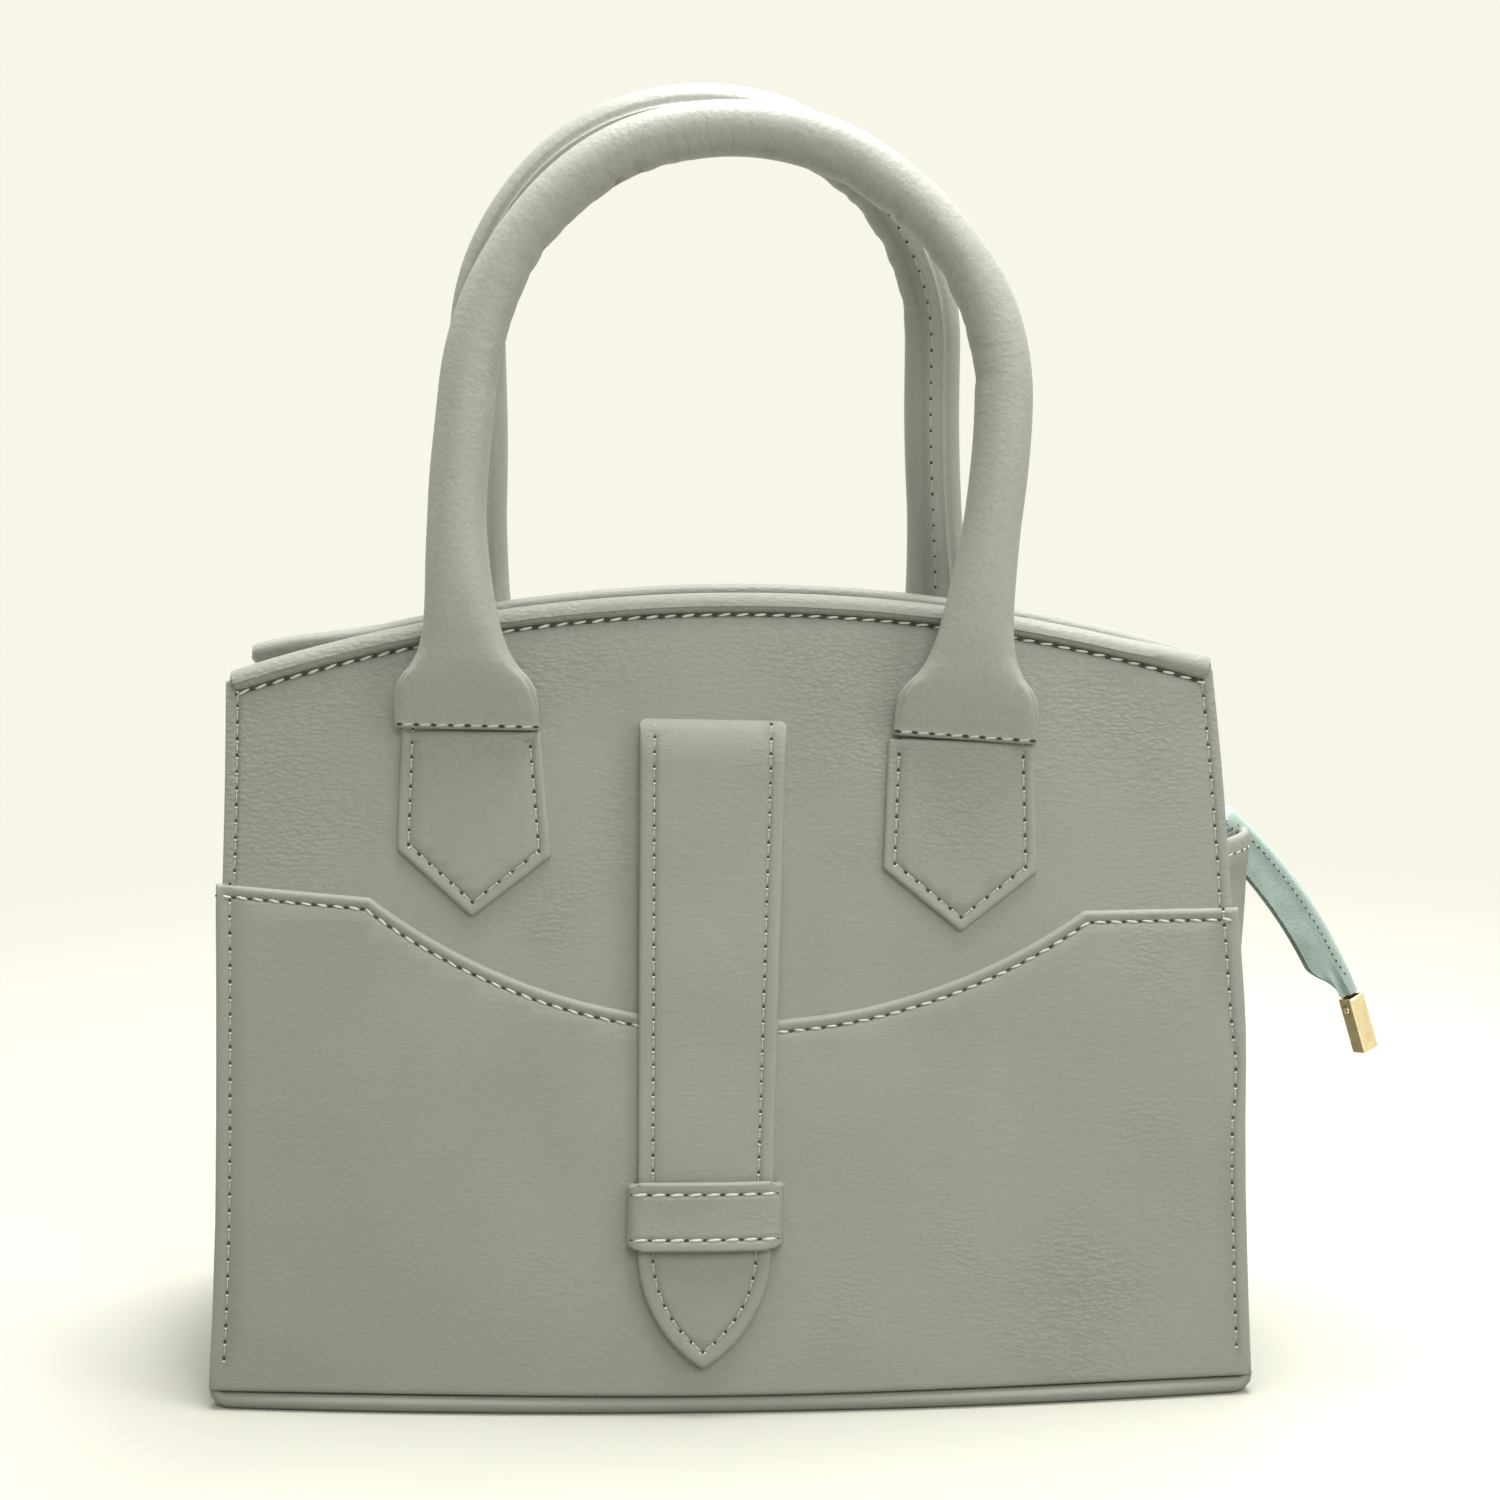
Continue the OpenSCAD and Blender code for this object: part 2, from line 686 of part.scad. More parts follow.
// Keeps only what lies inside the front lining
module on_wall_clear() {
    difference() {
        children();
        on_front() layer(-wall_t, foot_y) translate([-base_w, 0]) square([base_w * 2, crown_s]);
    }
}

module front_zip_facing() {
    color(leather_colour) zip_facing();
}

module rear_zip_facing() {
    color(leather_colour) mirror([0, 1, 0]) zip_facing();
}

module flap_facing() {
    translate([-flap_half, -flap_hinge_y, zip_z]) rotate([0, 90, 0]) cylinder(d = facing_t, h = flap_len);
    translate([-flap_half, -flap_hinge_y, facing_low])
        cube([flap_len, flap_hinge_y - facing_inner_y, facing_t]);
}

module tape_strip(from, to) {
    translate([from, -tape_outer_y, tape_low]) cube([to - from, tape_outer_y - tape_inner_y, tape_t]);
}

module coil_strip(from, to) {
    translate([from, -coil_y, coil_z]) rotate([0, 90, 0]) cylinder(d = coil_d, h = to - from);
}

module front_flap_facing() {
    color(leather_colour) flap_facing();
}

module rear_flap_facing() {
    color(leather_colour) mirror([0, 1, 0]) flap_facing();
}

module front_flap_tape() {
    color(teal_colour) tape_strip(-flap_half, flap_half);
}

module rear_flap_tape() {
    color(teal_colour) mirror([0, 1, 0]) tape_strip(-flap_half, flap_half);
}

module front_flap_coil() {
    color(teal_colour) coil_strip(-flap_half, flap_half);
}

module rear_flap_coil() {
    color(teal_colour) mirror([0, 1, 0]) coil_strip(-flap_half, flap_half);
}

// Ends of the zip that stay on the fixed facings; the right one runs on to the tail
tail_knuckle_r = 1.2;
tail_hinge_x = gusset_edge(hem_z) + bulge_hem / 2;
tape_right_x = tail_hinge_x - tail_knuckle_r - run_gap;
module zip_end_tapes() {
    color(teal_colour) for (side = [0, 1]) mirror([0, side, 0]) {
        tape_strip(-facing_half, -flap_half - end_gap);
        tape_strip(flap_half + end_gap, tape_right_x);
    }
}

module zip_end_coils() {
    color(teal_colour) for (side = [0, 1]) mirror([0, side, 0]) {
        coil_strip(-coil_half, -flap_half - end_gap);
        coil_strip(flap_half + end_gap, tape_right_x);
    }
}

stop_len = 2;
module zip_top_stops() {
    color(gold_colour) for (side = [0, 1]) mirror([0, side, 0])
        translate([-coil_half - stop_len, -tape_inner_y - stop_len, tape_low + tape_t])
            cube([stop_len, tape_inner_y + stop_len - coil_slit / 2, coil_d / 2]);
}

// Slider: two plates with flanges round the coil, a post in the slit and ears for the puller's pin
slider_x = -coil_half + slider_len / 2 + end_gap;
slider_plate = 1.4;
slider_round_share = 1.12;
slider_half_w = slider_w / 2;
ear_x = 3.4;
ear_t = 1.2;
eye_w = 3.6;
pin_r = 0.7;
pin_gap = 0.08;
eye_r = 1.7;
slider_top = coil_z + coil_d / 2 + run_gap;
slider_low = coil_z - coil_d / 2 - run_gap;
pin_z = slider_top + slider_plate + eye_r + run_gap;
slider_flange = slider_half_w - coil_y - coil_d / 2 - run_gap;

module slider_plate_shape(low) {
    translate([0, 0, low]) linear_extrude(height = slider_plate) intersection() {
        square([slider_len, slider_w], center = true);
        circle(d = slider_len * slider_round_share);
    }
}

module zip_slider() {
    color(gold_colour) translate([slider_x, 0, 0]) {
        slider_plate_shape(slider_top);
        slider_plate_shape(slider_low - slider_plate);
        for (side = [0, 1]) mirror([0, side, 0]) {
            translate([-slider_len / 4, slider_half_w - slider_flange, tape_low + tape_t + run_gap])
                cube([slider_len / 2, slider_flange, slider_top - tape_low - tape_t - run_gap]);
            translate([-slider_len / 4, slider_half_w - slider_flange, slider_low])
                cube([slider_len / 2, slider_flange, tape_low - run_gap - slider_low]);
            translate([-ear_x / 2, eye_w / 2 + run_gap, slider_top + slider_plate])
                cube([ear_x, ear_t, pin_z - slider_top - slider_plate + 2 * pin_r]);
        }
        translate([slider_len / 4, -coil_slit / 4, slider_low])
            cube([slider_len / 6, coil_slit / 2, slider_top - slider_low]);
        translate([0, -eye_w / 2 - run_gap - ear_t, pin_z]) rotate([-90, 0, 0])
            cylinder(r = pin_r, h = eye_w + 2 * (run_gap + ear_t));
    }
}

puller_t = 1.4;
module zip_puller() {
    reach = eye_r + ear_x / 2;
    color(gold_colour) translate([slider_x, 0, pin_z]) difference() {
        union() {
            translate([0, eye_w / 2, 0]) rotate([90, 0, 0]) cylinder(r = eye_r, h = eye_w);
            translate([-reach - puller_t, -eye_w / 2, -puller_t / 2])
                cube([reach + puller_t, eye_w, puller_t]);
            translate([0, 0, -puller_t / 2]) linear_extrude(height = puller_t) {
                translate([-puller_len + puller_w / 2, -puller_w / 2])
                    square([puller_len - puller_w / 2 - reach, puller_w]);
                translate([-puller_len + puller_w / 2, 0]) circle(d = puller_w);
            }
        }
        translate([0, eye_w, 0]) rotate([90, 0, 0]) cylinder(r = pin_r + pin_gap, h = eye_w * 2);
    }
}

// Zip tail: the tape runs over the gusset's hem, folded in half with its coil in the upper edge,
// and hangs in a wide arc. It is drawn flat, as seen from the front.
tail_hinge_z = tape_low + tape_t / 2;
tail_x = gusset_edge(hem_z) + bulge_hem + run_gap;
tail_top = hem_z + 2 * tape_t;
tail_r = tail_len / tail_sweep * 180 / PI;
taper_l = tail_w;
coil_lead = 3;
coil_end = 2;
gather_w = clamp_w;
clamp_shift = clamp_w / 3;
clamp_mouth = clamp_wall;
tongue_w = clamp_w - 2 * (clamp_wall + gap);
tongue_t = clamp_t - 2 * (clamp_wall + gap);
tongue_l = clamp_l / 2;

// From the flat outline to the bag's middle plane
module on_tail_plane() {
    rotate([90, 0, 0]) children();
}

// Arc's centre at the origin, its start on +Y
module on_tail_arc() {
    translate([tail_x, tail_top]) rotate(-tail_start) translate([0, -tail_r]) children();
}

// The arc's outer end at the origin, the tape running on along +X
module on_tail_end() {
    on_tail_arc() rotate(-tail_sweep) translate([0, tail_r]) children();
}

module tail_sector(from, to) {
    reach = 2 * tail_r;
    polygon([[0, 0], reach * [sin(from), cos(from)], reach * [sin(to), cos(to)]]);
}

// The folded tape, with a place for the coil along its outer edge and a gathered end
module tail_band() {
    difference() {
        on_tail_arc() difference() {
            intersection() {
                circle(r = tail_r, $fn = wide_fn);
                tail_sector(0, tail_sweep);
            }
            circle(r = tail_r - tail_w, $fn = wide_fn);
            difference() {
                tail_sector(coil_lead, tail_sweep - coil_end);
                circle(r = tail_r - coil_d, $fn = wide_fn);
            }
        }
        translate([0, tail_top - 2 * tail_w]) square([tail_x, 4 * tail_w]);
        on_tail_end() polygon([[-taper_l - over, -tail_w - over], [-taper_l, -tail_w], [0, -gather_w],
            [over, -gather_w], [over, -tail_w - over]]);
    }
}

// The tape's way over the hem, from the knuckle to the arc
module tail_neck() {
    polygon([[tail_hinge_x, tail_hinge_z + tail_knuckle_r], [tail_x + gap, tail_top - gap],
        [tail_x + gap, hem_z + run_gap], [tail_hinge_x, hem_z + run_gap]]);
}

module zip_tail() {
    color(teal_colour) {
        on_tail_plane() linear_extrude(height = tail_t, center = true) {
            tail_band();
            tail_neck();
        }
        translate([tail_hinge_x, tail_w / 2, tail_hinge_z]) rotate([90, 0, 0])
            cylinder(r = tail_knuckle_r, h = tail_w);
        on_clamp() translate([-clamp_mouth - tongue_t, -tongue_w / 2, -tongue_t / 2])
            cube([clamp_mouth + tongue_t + tongue_l, tongue_w, tongue_t]);
    }
}

module zip_tail_coil() {
    color(teal_colour) on_tail_plane() on_tail_arc() rotate(90 - tail_sweep)
        rotate([0, 0, coil_end])
        rotate_extrude(angle = tail_sweep - coil_lead - coil_end, $fn = wide_fn)
            translate([tail_r - coil_d / 2, 0]) circle(d = coil_d - gap);
}

// The clamp's mouth at the origin, its length along +X, a wide side turned to the front and right
module on_clamp() {
    on_tail_plane() on_tail_end() translate([clamp_mouth, -clamp_shift, 0])
        rotate(-clamp_turn) rotate([-clamp_roll, 0, 0]) children();
}

module chamfered_rectangle(from_x, to_x, half_y, chamfer) {
    polygon([[from_x + chamfer, -half_y], [to_x - chamfer, -half_y], [to_x, chamfer - half_y],
        [to_x, half_y - chamfer], [to_x - chamfer, half_y], [from_x + chamfer, half_y],
        [from_x, half_y - chamfer], [from_x, chamfer - half_y]]);
}

module clamp_block() {
    intersection() {
        linear_extrude(height = clamp_t, center = true)
            chamfered_rectangle(0, clamp_l, clamp_w / 2, clamp_chamfer);
        rotate([90, 0, 0]) linear_extrude(height = clamp_w, center = true)
            chamfered_rectangle(0, clamp_l, clamp_t / 2, clamp_chamfer);
        rotate([0, 90, 0]) linear_extrude(height = clamp_l)
            chamfered_rectangle(-clamp_t / 2, clamp_t / 2, clamp_w / 2, clamp_chamfer);
    }
}

screw_x = clamp_l / 5;
module on_clamp_screw() {
    translate([screw_x, -clamp_w / 2, 0]) rotate([-90, 0, 0]) children();
}

module end_clamp() {
    color(gold_colour) on_clamp() difference() {
        clamp_block();
        translate([-over, clamp_wall - clamp_w / 2, clamp_wall - clamp_t / 2])
            cube([over + tongue_l + gap, clamp_w - 2 * clamp_wall, clamp_t - 2 * clamp_wall]);
        on_clamp_screw() translate([0, 0, -over]) cylinder(r = screw_r + gap, h = over + clamp_wall + gap);
    }
}

// Set screw that holds the tape, its domed end a little below the clamp's face
module clamp_screw() {
    color(gold_colour) on_clamp() on_clamp_screw() intersection() {
        translate([0, 0, gap]) cylinder(r = screw_r, h = clamp_wall);
        translate([0, 0, gap + 2 * screw_r]) sphere(r = 2 * screw_r);
    }
}

front_panel();
rear_panel();
left_gusset();
right_gusset();
base_panel();
front_overlay();
front_top_binding();
rear_top_binding();
front_piping();
rear_piping();
front_board();
rear_board();
base_board();
front_lining();
rear_lining();
left_lining();
right_lining();
base_lining();
strap();
strap_keeper();
front_left_tab();
front_right_tab();
rear_left_tab();
rear_right_tab();
front_handle_cover();
front_handle_core();
rear_handle_cover();
rear_handle_core();
front_zip_facing();
rear_zip_facing();
zip_end_tapes();
zip_end_coils();
zip_top_stops();
front_flap_facing();
front_flap_tape();
front_flap_coil();
rear_flap_facing();
rear_flap_tape();
rear_flap_coil();
zip_slider();
zip_puller();
zip_tail();
zip_tail_coil();
end_clamp();
clamp_screw();
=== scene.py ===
"""Structured top handle bag: leather shell, rolled handles, strap, recessed zip and its tail."""
import math
import random

import bmesh
import bpy
import numpy as np
from bpy.props import FloatProperty, FloatVectorProperty, PointerProperty
from bpy.types import Operator, Panel, PropertyGroup
from mathutils import Matrix, Vector, noise


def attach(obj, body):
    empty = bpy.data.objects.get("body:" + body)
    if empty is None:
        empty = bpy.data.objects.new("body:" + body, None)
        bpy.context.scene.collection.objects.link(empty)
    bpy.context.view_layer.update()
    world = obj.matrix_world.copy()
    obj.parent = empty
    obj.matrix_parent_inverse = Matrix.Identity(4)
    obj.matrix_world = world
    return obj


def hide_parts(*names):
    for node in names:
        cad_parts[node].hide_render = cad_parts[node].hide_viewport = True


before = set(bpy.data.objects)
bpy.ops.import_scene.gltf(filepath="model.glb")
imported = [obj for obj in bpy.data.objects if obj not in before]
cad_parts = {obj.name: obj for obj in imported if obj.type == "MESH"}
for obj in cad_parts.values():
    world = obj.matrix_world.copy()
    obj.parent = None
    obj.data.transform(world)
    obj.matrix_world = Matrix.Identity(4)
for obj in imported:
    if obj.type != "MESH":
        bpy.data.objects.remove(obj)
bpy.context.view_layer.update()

bl_info = {
    "name": "Top Handle Bag",
    "version": (1, 0, 0),
    "blender": (4, 5, 0),
    "location": "View3D > Sidebar > Bag",
    "description": "Sews a structured leather bag with rolled handles over its packed frame",
    "category": "Add Mesh",
}

# Shapes are worked out in millimetres and scaled to metres when a piece is finished
METRE = 0.001

# The cone on which a wall is bent
LEAN = math.radians(7.4)
HALF_W = 130.0
TOP_HALF = 125.0
BOW = 8.0
APEX = 63.0
SIDE_H = 181.0
CROWN_S = 200.0
FOOT_Y = 60.0
SEAT = 4.2
SLOPE = BOW / (math.hypot(HALF_W, APEX) - APEX)
CROWN_RISE = CROWN_S - SIDE_H
CROWN_R = (TOP_HALF ** 2 + CROWN_RISE ** 2) / (2 * CROWN_RISE)
FOOT_RADIUS = (HALF_W ** 2 + BOW ** 2) / (2 * BOW)

# Layers
LEATHER = 1.8
BOARD = 1.2
LINING = 0.6
WALL = LEATHER + BOARD + LINING
OVERLAY = 1.6
STRAP = 2.8
BINDING_H = 5.5
PIPING_R = 2.1
FLANGE = 8.0

# What is sewn on the front
OVERLAY_H = 120.0
OVERLAY_DIP = 29.0
DIP_HALF = 90.0
OVERLAY_SLANT = math.radians(1.7)
OVERLAY_GROW = 0.8
FOOT_GAP = 0.7
STRAP_AT = (-3.1, 167.5)
STRAP_SLANT = math.radians(1.6)
STRAP_TOP_HALF = 18.5
STRAP_HALF = 16.5
STRAP_STRAIGHT = 131.5
STRAP_POINT = 28.5
KEEPER_S = 36.5
KEEPER_H = 16.8
KEEPER_T = 1.6

# Seams: how far they lie from the edges, and stitch lengths that differ from the sizes in the panel
GROOVE_HALF = 0.62
WALL_SIDE_SEAM = 3.1
WALL_TOP_SEAM = 5.9
OVERLAY_TOP_SEAM = 2.9
OVERLAY_SIDE_SEAM = 3.7
STRAP_SEAM = 3.7
KEEPER_SEAM = 2.9
TAB_SEAM = 2.9
SIDE_PITCH = 4.25
OVERLAY_PITCH = 4.1
STRAP_PITCH = 3.7
KEEPER_PITCH = 4.75
HANDLE_PITCH = 4.2
TAIL_PITCH = 2.1

# Heights at which the walls' side seams begin, right and left. The front ones begin above the overlay.
SIDE_SEAM_LOW = {-1: (118.5, 126.5), 1: (3.0, 3.0)}

# How much smaller the wall's layers are than their pattern, at the sides and at the mouth
MOUTH_DROP = 1.9
REAR_INSET = 0.05
BOARD_INSET = 11.0
LINING_INSET = 2.9
LINING_DROP = 2.0

# Unevenness of a standing wall: the size of its patches, and the valleys beside the strap
BROAD_PATCH = (46, 38)
FINE_PATCH = (19, 22)
VALLEYS = (-24.5, 23.5)
VALLEY_HALF = 6.5

# Size of the cells into which a bent sheet is divided
SMALL_CELL = 3.6
ZIP_CELL = 4.0
WALL_CELL = 5.0
HIDDEN_CELL = 8.0
BOARD_CELL = 9.0
SMOOTH_BELOW = math.radians(52)

# How far the hand-cut pieces run past their patterns, at heights along the slope
WALL_SIDES = {-1: ((0, 60, 125, 150, 166, 181), (0.0, 0.5, 1.0, 1.1, 1.4, 1.8)),
              1: ((0, 45, 90, 128, 155, 181), (0.0, 0.7, 1.4, 1.5, 0.8, -0.4))}
OVERLAY_SIDES = {-1: ((0, 8, 20, 45, 70, 95, 105, 124), (0.75, 0.7, 0.3, 0.2, 0.7, 1.4, 1.7, 2.4)),
                 1: ((0, 6, 20, 47, 67, 79, 90, 104, 120), (0.5, 0.5, 0.6, 1.2, 2.1, 2.9, 3.4, 3.2, 2.8))}
FRONT_TABS = {-1: ((0.2, 0.0), (0.95, 1.4), (1.05, 1.05), (1.3, 0.5), (-1.2, 0.0)),
              1: ((-0.8, 0.0), (-0.7, -0.85), (0.0, -0.15), (-0.1, -1.1), (-0.3, 0.0))}

# Handles
HINGE_S = 165.0
HANDLE_LEAN = math.radians(7.3)
HANDLE_R = 7.3
FOOT_R = 2.2
FOOT_END = 1.3
TAB_HALF = 19.25
TAB_TOP_HALF = 18.3
TAB_SPACING = 124.0
TUBE_W = 4.2
FLARE = 55.0
FRONT_HANDLE = {"at": (-1.8, -24.9322, 166.031), "slant": math.radians(1.8), "arch_r": 66.4, "arch_x": 3.2,
                "arch_v": 83.6, "left_rise": 36.0, "right_rise": 83.0, "skew": 1.0,
                "foot_shift": {-1: -1.1, 1: 0.3}, "foot_tilt": {-1: 0.0, 1: 0.05}, "bow": {-1: 3.3, 1: 0.0}}
REAR_HANDLE = {"at": (-3.6, -24.8338, 166.0185), "slant": 0.0, "arch_r": 59.8, "arch_x": -0.4,
               "arch_v": 96.4, "left_rise": 83.0, "right_rise": 83.0, "skew": 0.4,
               "foot_shift": {-1: -1.6, 1: 1.0}, "foot_tilt": {-1: 0.0, 1: 0.0}, "bow": {-1: 0.0, 1: 0.0}}
FLARE_HEIGHTS = [0, 0.07, 0.15, 0.21, 0.27, 0.35, 0.48, 0.69, 1]
FLARE_WIDTHS = [1, 1, 0.96, 0.82, 0.56, 0.35, 0.19, 0.08, 0]
FLARE_DEPTHS = [0, 0.06, 0.24, 0.38, 0.5, 0.62, 0.79, 0.93, 1]
FLARE_OFFSETS = [0, 0.1, 0.36, 0.52, 0.66, 0.8, 0.94, 1, 1]
FLARE_CORNERS = [6, 6, 5, 4, 3.2, 2.6, 2.3, 2.1, 2]

# Gussets and zip
GUSSET_T = 1.4
HEM_Z = 135.7
BULGE_FOOT = 1.5
BULGE_HEM = {-1: 2.0, 1: 12.3}
ZIP_Z = 141.0
FACING_T = 1.4
FACING_LOW = ZIP_Z - FACING_T / 2
FACING_HALF = 124.5
FACING_INNER = 11.5
FLAP_HALF = 80.0
FLAP_HINGE_Y = 20.0
FIXED_Y = 21.0
END_GAP = 0.5
TAPE_T = 0.8
TAPE_INNER = 3.2
TAPE_OUTER = 17.2
COIL_HALF = 111.9
COIL_Y = 1.82
COIL_TURN = (0.42, 1.4, 1.28, 1.0)
COIL_STARTS = {1: 0.27, -1: 0.77}
TAPE_RIGHT = 129.27

# Tail
TAIL_AT = (136.569, 137.3)
TAIL_R = 137.012
TAIL_START = math.radians(44.0)
TAIL_SWEEP = math.radians(23.8)
TAIL_NECK = 7.0
TAIL_LENGTH = TAIL_NECK + TAIL_R * TAIL_SWEEP
TAIL_W = 10.8
TAIL_HINGE = (130.77, 139.9)
CLAMP_L = 15.6
CLAMP_W = 5.6
CLAMP_T = 4.6


def measure(label, description, value, low, high):
    return FloatProperty(name=label, description=description, default=value, min=low, max=high, unit="LENGTH")


class BagSizes(PropertyGroup):
    """Sizes of the sewing and of the leather's relief."""
    seam_pitch: measure("Seam pitch", "Length of a stitch along the mouth and the overlay", 0.0046, 0.003, 0.007)
    tab_pitch: measure("Tab pitch", "Length of a stitch on the tabs and the strap", 0.0039, 0.0025, 0.006)
    thread_width: measure("Thread width", "Thickness of the sewing thread", 0.00058, 0.0003, 0.001)
    groove_depth: measure("Groove depth", "How deep a seam is pressed into the leather", 0.00038, 0.0, 0.001)
    sag_depth: measure("Sag depth", "Unevenness of the standing walls", 0.00042, 0.0, 0.0012)
    crease_depth: measure("Crease depth", "Depth of the wrinkles inside the handles' bend", 0.0005, 0.0, 0.0012)
    tooth_pitch: measure("Tooth pitch", "Distance between two turns of the zip's coil", 0.0013, 0.0009, 0.002)
    grain_depth: measure("Grain depth", "Relief of the pebbled leather", 0.00005, 0.0, 0.0002)


def colour(label, description, value):
    return FloatVectorProperty(name=label, description=description, default=value, min=0.0, max=1.0,
                               size=3, subtype="COLOR")


class BagColours(PropertyGroup):
    """Colours of the bag's materials."""
    leather: colour("Leather", "Grained leather of the body", (0.312, 0.323, 0.277))
    smooth: colour("Handle leather", "Smooth leather of the handles", (0.420, 0.430, 0.380))
    # Painted shade: the leather's colour in the grain's valleys, along the seams and in the handles' wrinkles
    shade: colour("Leather shade", "Leather between the pebbles and in the seams", (0.160, 0.168, 0.135))
    thread: colour("Thread", "Sewing thread", (0.80, 0.81, 0.73))
    # Painted shade: the dark of a needle hole's pit, laid on the leather as a flat bead
    hole: colour("Needle hole", "Bottom of a needle hole", (0.035, 0.040, 0.030))
    lining: colour("Lining", "Twill lining", (0.24, 0.27, 0.24))
    board: colour("Board", "Pressed fibre board", (0.52, 0.45, 0.33))
    core: colour("Core", "Cotton core of the handles", (0.55, 0.50, 0.40))
    tape: colour("Zip tape", "Woven zip tape", (0.56, 0.69, 0.625))
    tape_shade: colour("Zip tape shade", "Folds and weave of the tape", (0.30, 0.42, 0.385))
    coil: colour("Coil", "Nylon coil", (0.20, 0.34, 0.31))
    gold: colour("Gold", "Pale gold plating", (0.93, 0.79, 0.52))
    paper: colour("Backdrop", "Floor and backdrop", (0.935, 0.925, 0.815))


def size(name):
    return getattr(bpy.context.scene.bag_sizes, name) * 1000


def tint(name, strength=1.0):
    return (*(c * strength for c in getattr(bpy.context.scene.bag_colours, name)), 1.0)


# ---- Places on the walls ----

def smooth_step(t):
    t = max(0.0, min(1.0, t))
    return t * t * (3 - 2 * t)


def face(x, s):
    """Height of the wall's outer face off its reference plane."""
    return SLOPE * (APEX - math.hypot(x, s + APEX))


def edge_x(s):
    return HALF_W - (HALF_W - TOP_HALF) * s / SIDE_H


def sag(x, s, side):
    """Unevenness that every layer of a wall shares, so that they stay on each other."""
    depth = size("sag_depth")
    drift = (noise.noise(Vector((x / BROAD_PATCH[0], s / BROAD_PATCH[1], 3.1 * side)))
             + 0.5 * noise.noise(Vector((x / FINE_PATCH[0], s / FINE_PATCH[1], 9 + side))))
    calm = smooth_step((edge_x(s) - abs(x)) / 16) * smooth_step(s / 22)
    valley = 0.0
    if side < 0:
        middle = strap_middle(s)
        reach = smooth_step((s - 60) / 40) * smooth_step((178 - s) / 14)
        for edge in VALLEYS:
            valley += math.exp(-((x - middle - edge) / VALLEY_HALF) ** 2) * reach
    return depth * (drift * calm - 1.5 * valley)


def wall_place(side):
    """Turns flat pattern coordinates and a height off the face into the bag's frame."""
    def place(x, s, h):
        n = face(x, s) + h + sag(x, s, side)
        y = FOOT_Y - s * math.sin(LEAN) + n * math.cos(LEAN)
        return Vector((x, side * y, SEAT + s * math.cos(LEAN) + n * math.sin(LEAN)))
    return place


def strap_middle(s):
    """Middle line of the slanted strap at a height along the slope."""
    return STRAP_AT[0] - (STRAP_AT[1] - s) * math.tan(STRAP_SLANT)


def flat_place(z):
    def place(x, y, h):
        return Vector((x, y, z + h))
    return place


def foot_s(x, h=0.0):
    """Where a layer meets the floor of the shell."""
    s = 0.0
    for _ in range(5):
        s = -(face(x, s) + h) * math.tan(LEAN)
    return s


def crown(x, drop=0.0):
    return CROWN_S - CROWN_R + math.sqrt((CROWN_R - drop) ** 2 - x * x)


def wall_s(x, z, depth):
    s = z - SEAT
    for _ in range(6):
        s = (z - SEAT - (face(x, s) - depth) * math.sin(LEAN)) / math.cos(LEAN)
    return s


def wall_y(x, z, depth):
    s = wall_s(x, z, depth)
    return FOOT_Y - s * math.sin(LEAN) + (face(x, s) - depth) * math.cos(LEAN)


# ---- Flat patterns ----

def turned(point, angle, at):
    """A pattern point turned clockwise by an angle and set down at a place."""
    x, y = point
    return (at[0] + x * math.cos(angle) + y * math.sin(angle), at[1] - x * math.sin(angle) + y * math.cos(angle))


def eased(points, radius):
    """Rounds the sharp corners of a closed pattern with arcs."""
    result = []
    for i, corner in enumerate(points):
        corner = Vector(corner)
        back, ahead = Vector(points[i - 1]) - corner, Vector(points[(i + 1) % len(points)]) - corner
        turn = math.pi - back.angle(ahead)
        if turn < 0.35:
            result.append(tuple(corner))
            continue
        cut = min(radius * math.tan(turn / 2), back.length * 0.45, ahead.length * 0.45)
        first, last = corner + back.normalized() * cut, corner + ahead.normalized() * cut
        bulge = cut / math.tan(turn / 2)
        side = 1 if back.x * ahead.y - back.y * ahead.x < 0 else -1
        centre = first + Vector((-(corner - first).y, (corner - first).x)).normalized() * bulge * side
        for t in np.linspace(0, 1, 6):
            arm = (first - centre).normalized().lerp((last - centre).normalized(), t).normalized()
            result.append(tuple(centre + arm * bulge))
    return result


def divided(points, step=9.0):
    """A closed pattern with its long sides divided."""
    result = []
    for a, b in zip(points, list(points[1:]) + [points[0]]):
        count = max(1, math.ceil(math.dist(a, b) / step))
        result += [tuple(Vector(a).lerp(Vector(b), k / count)) for k in range(count)]
    return result


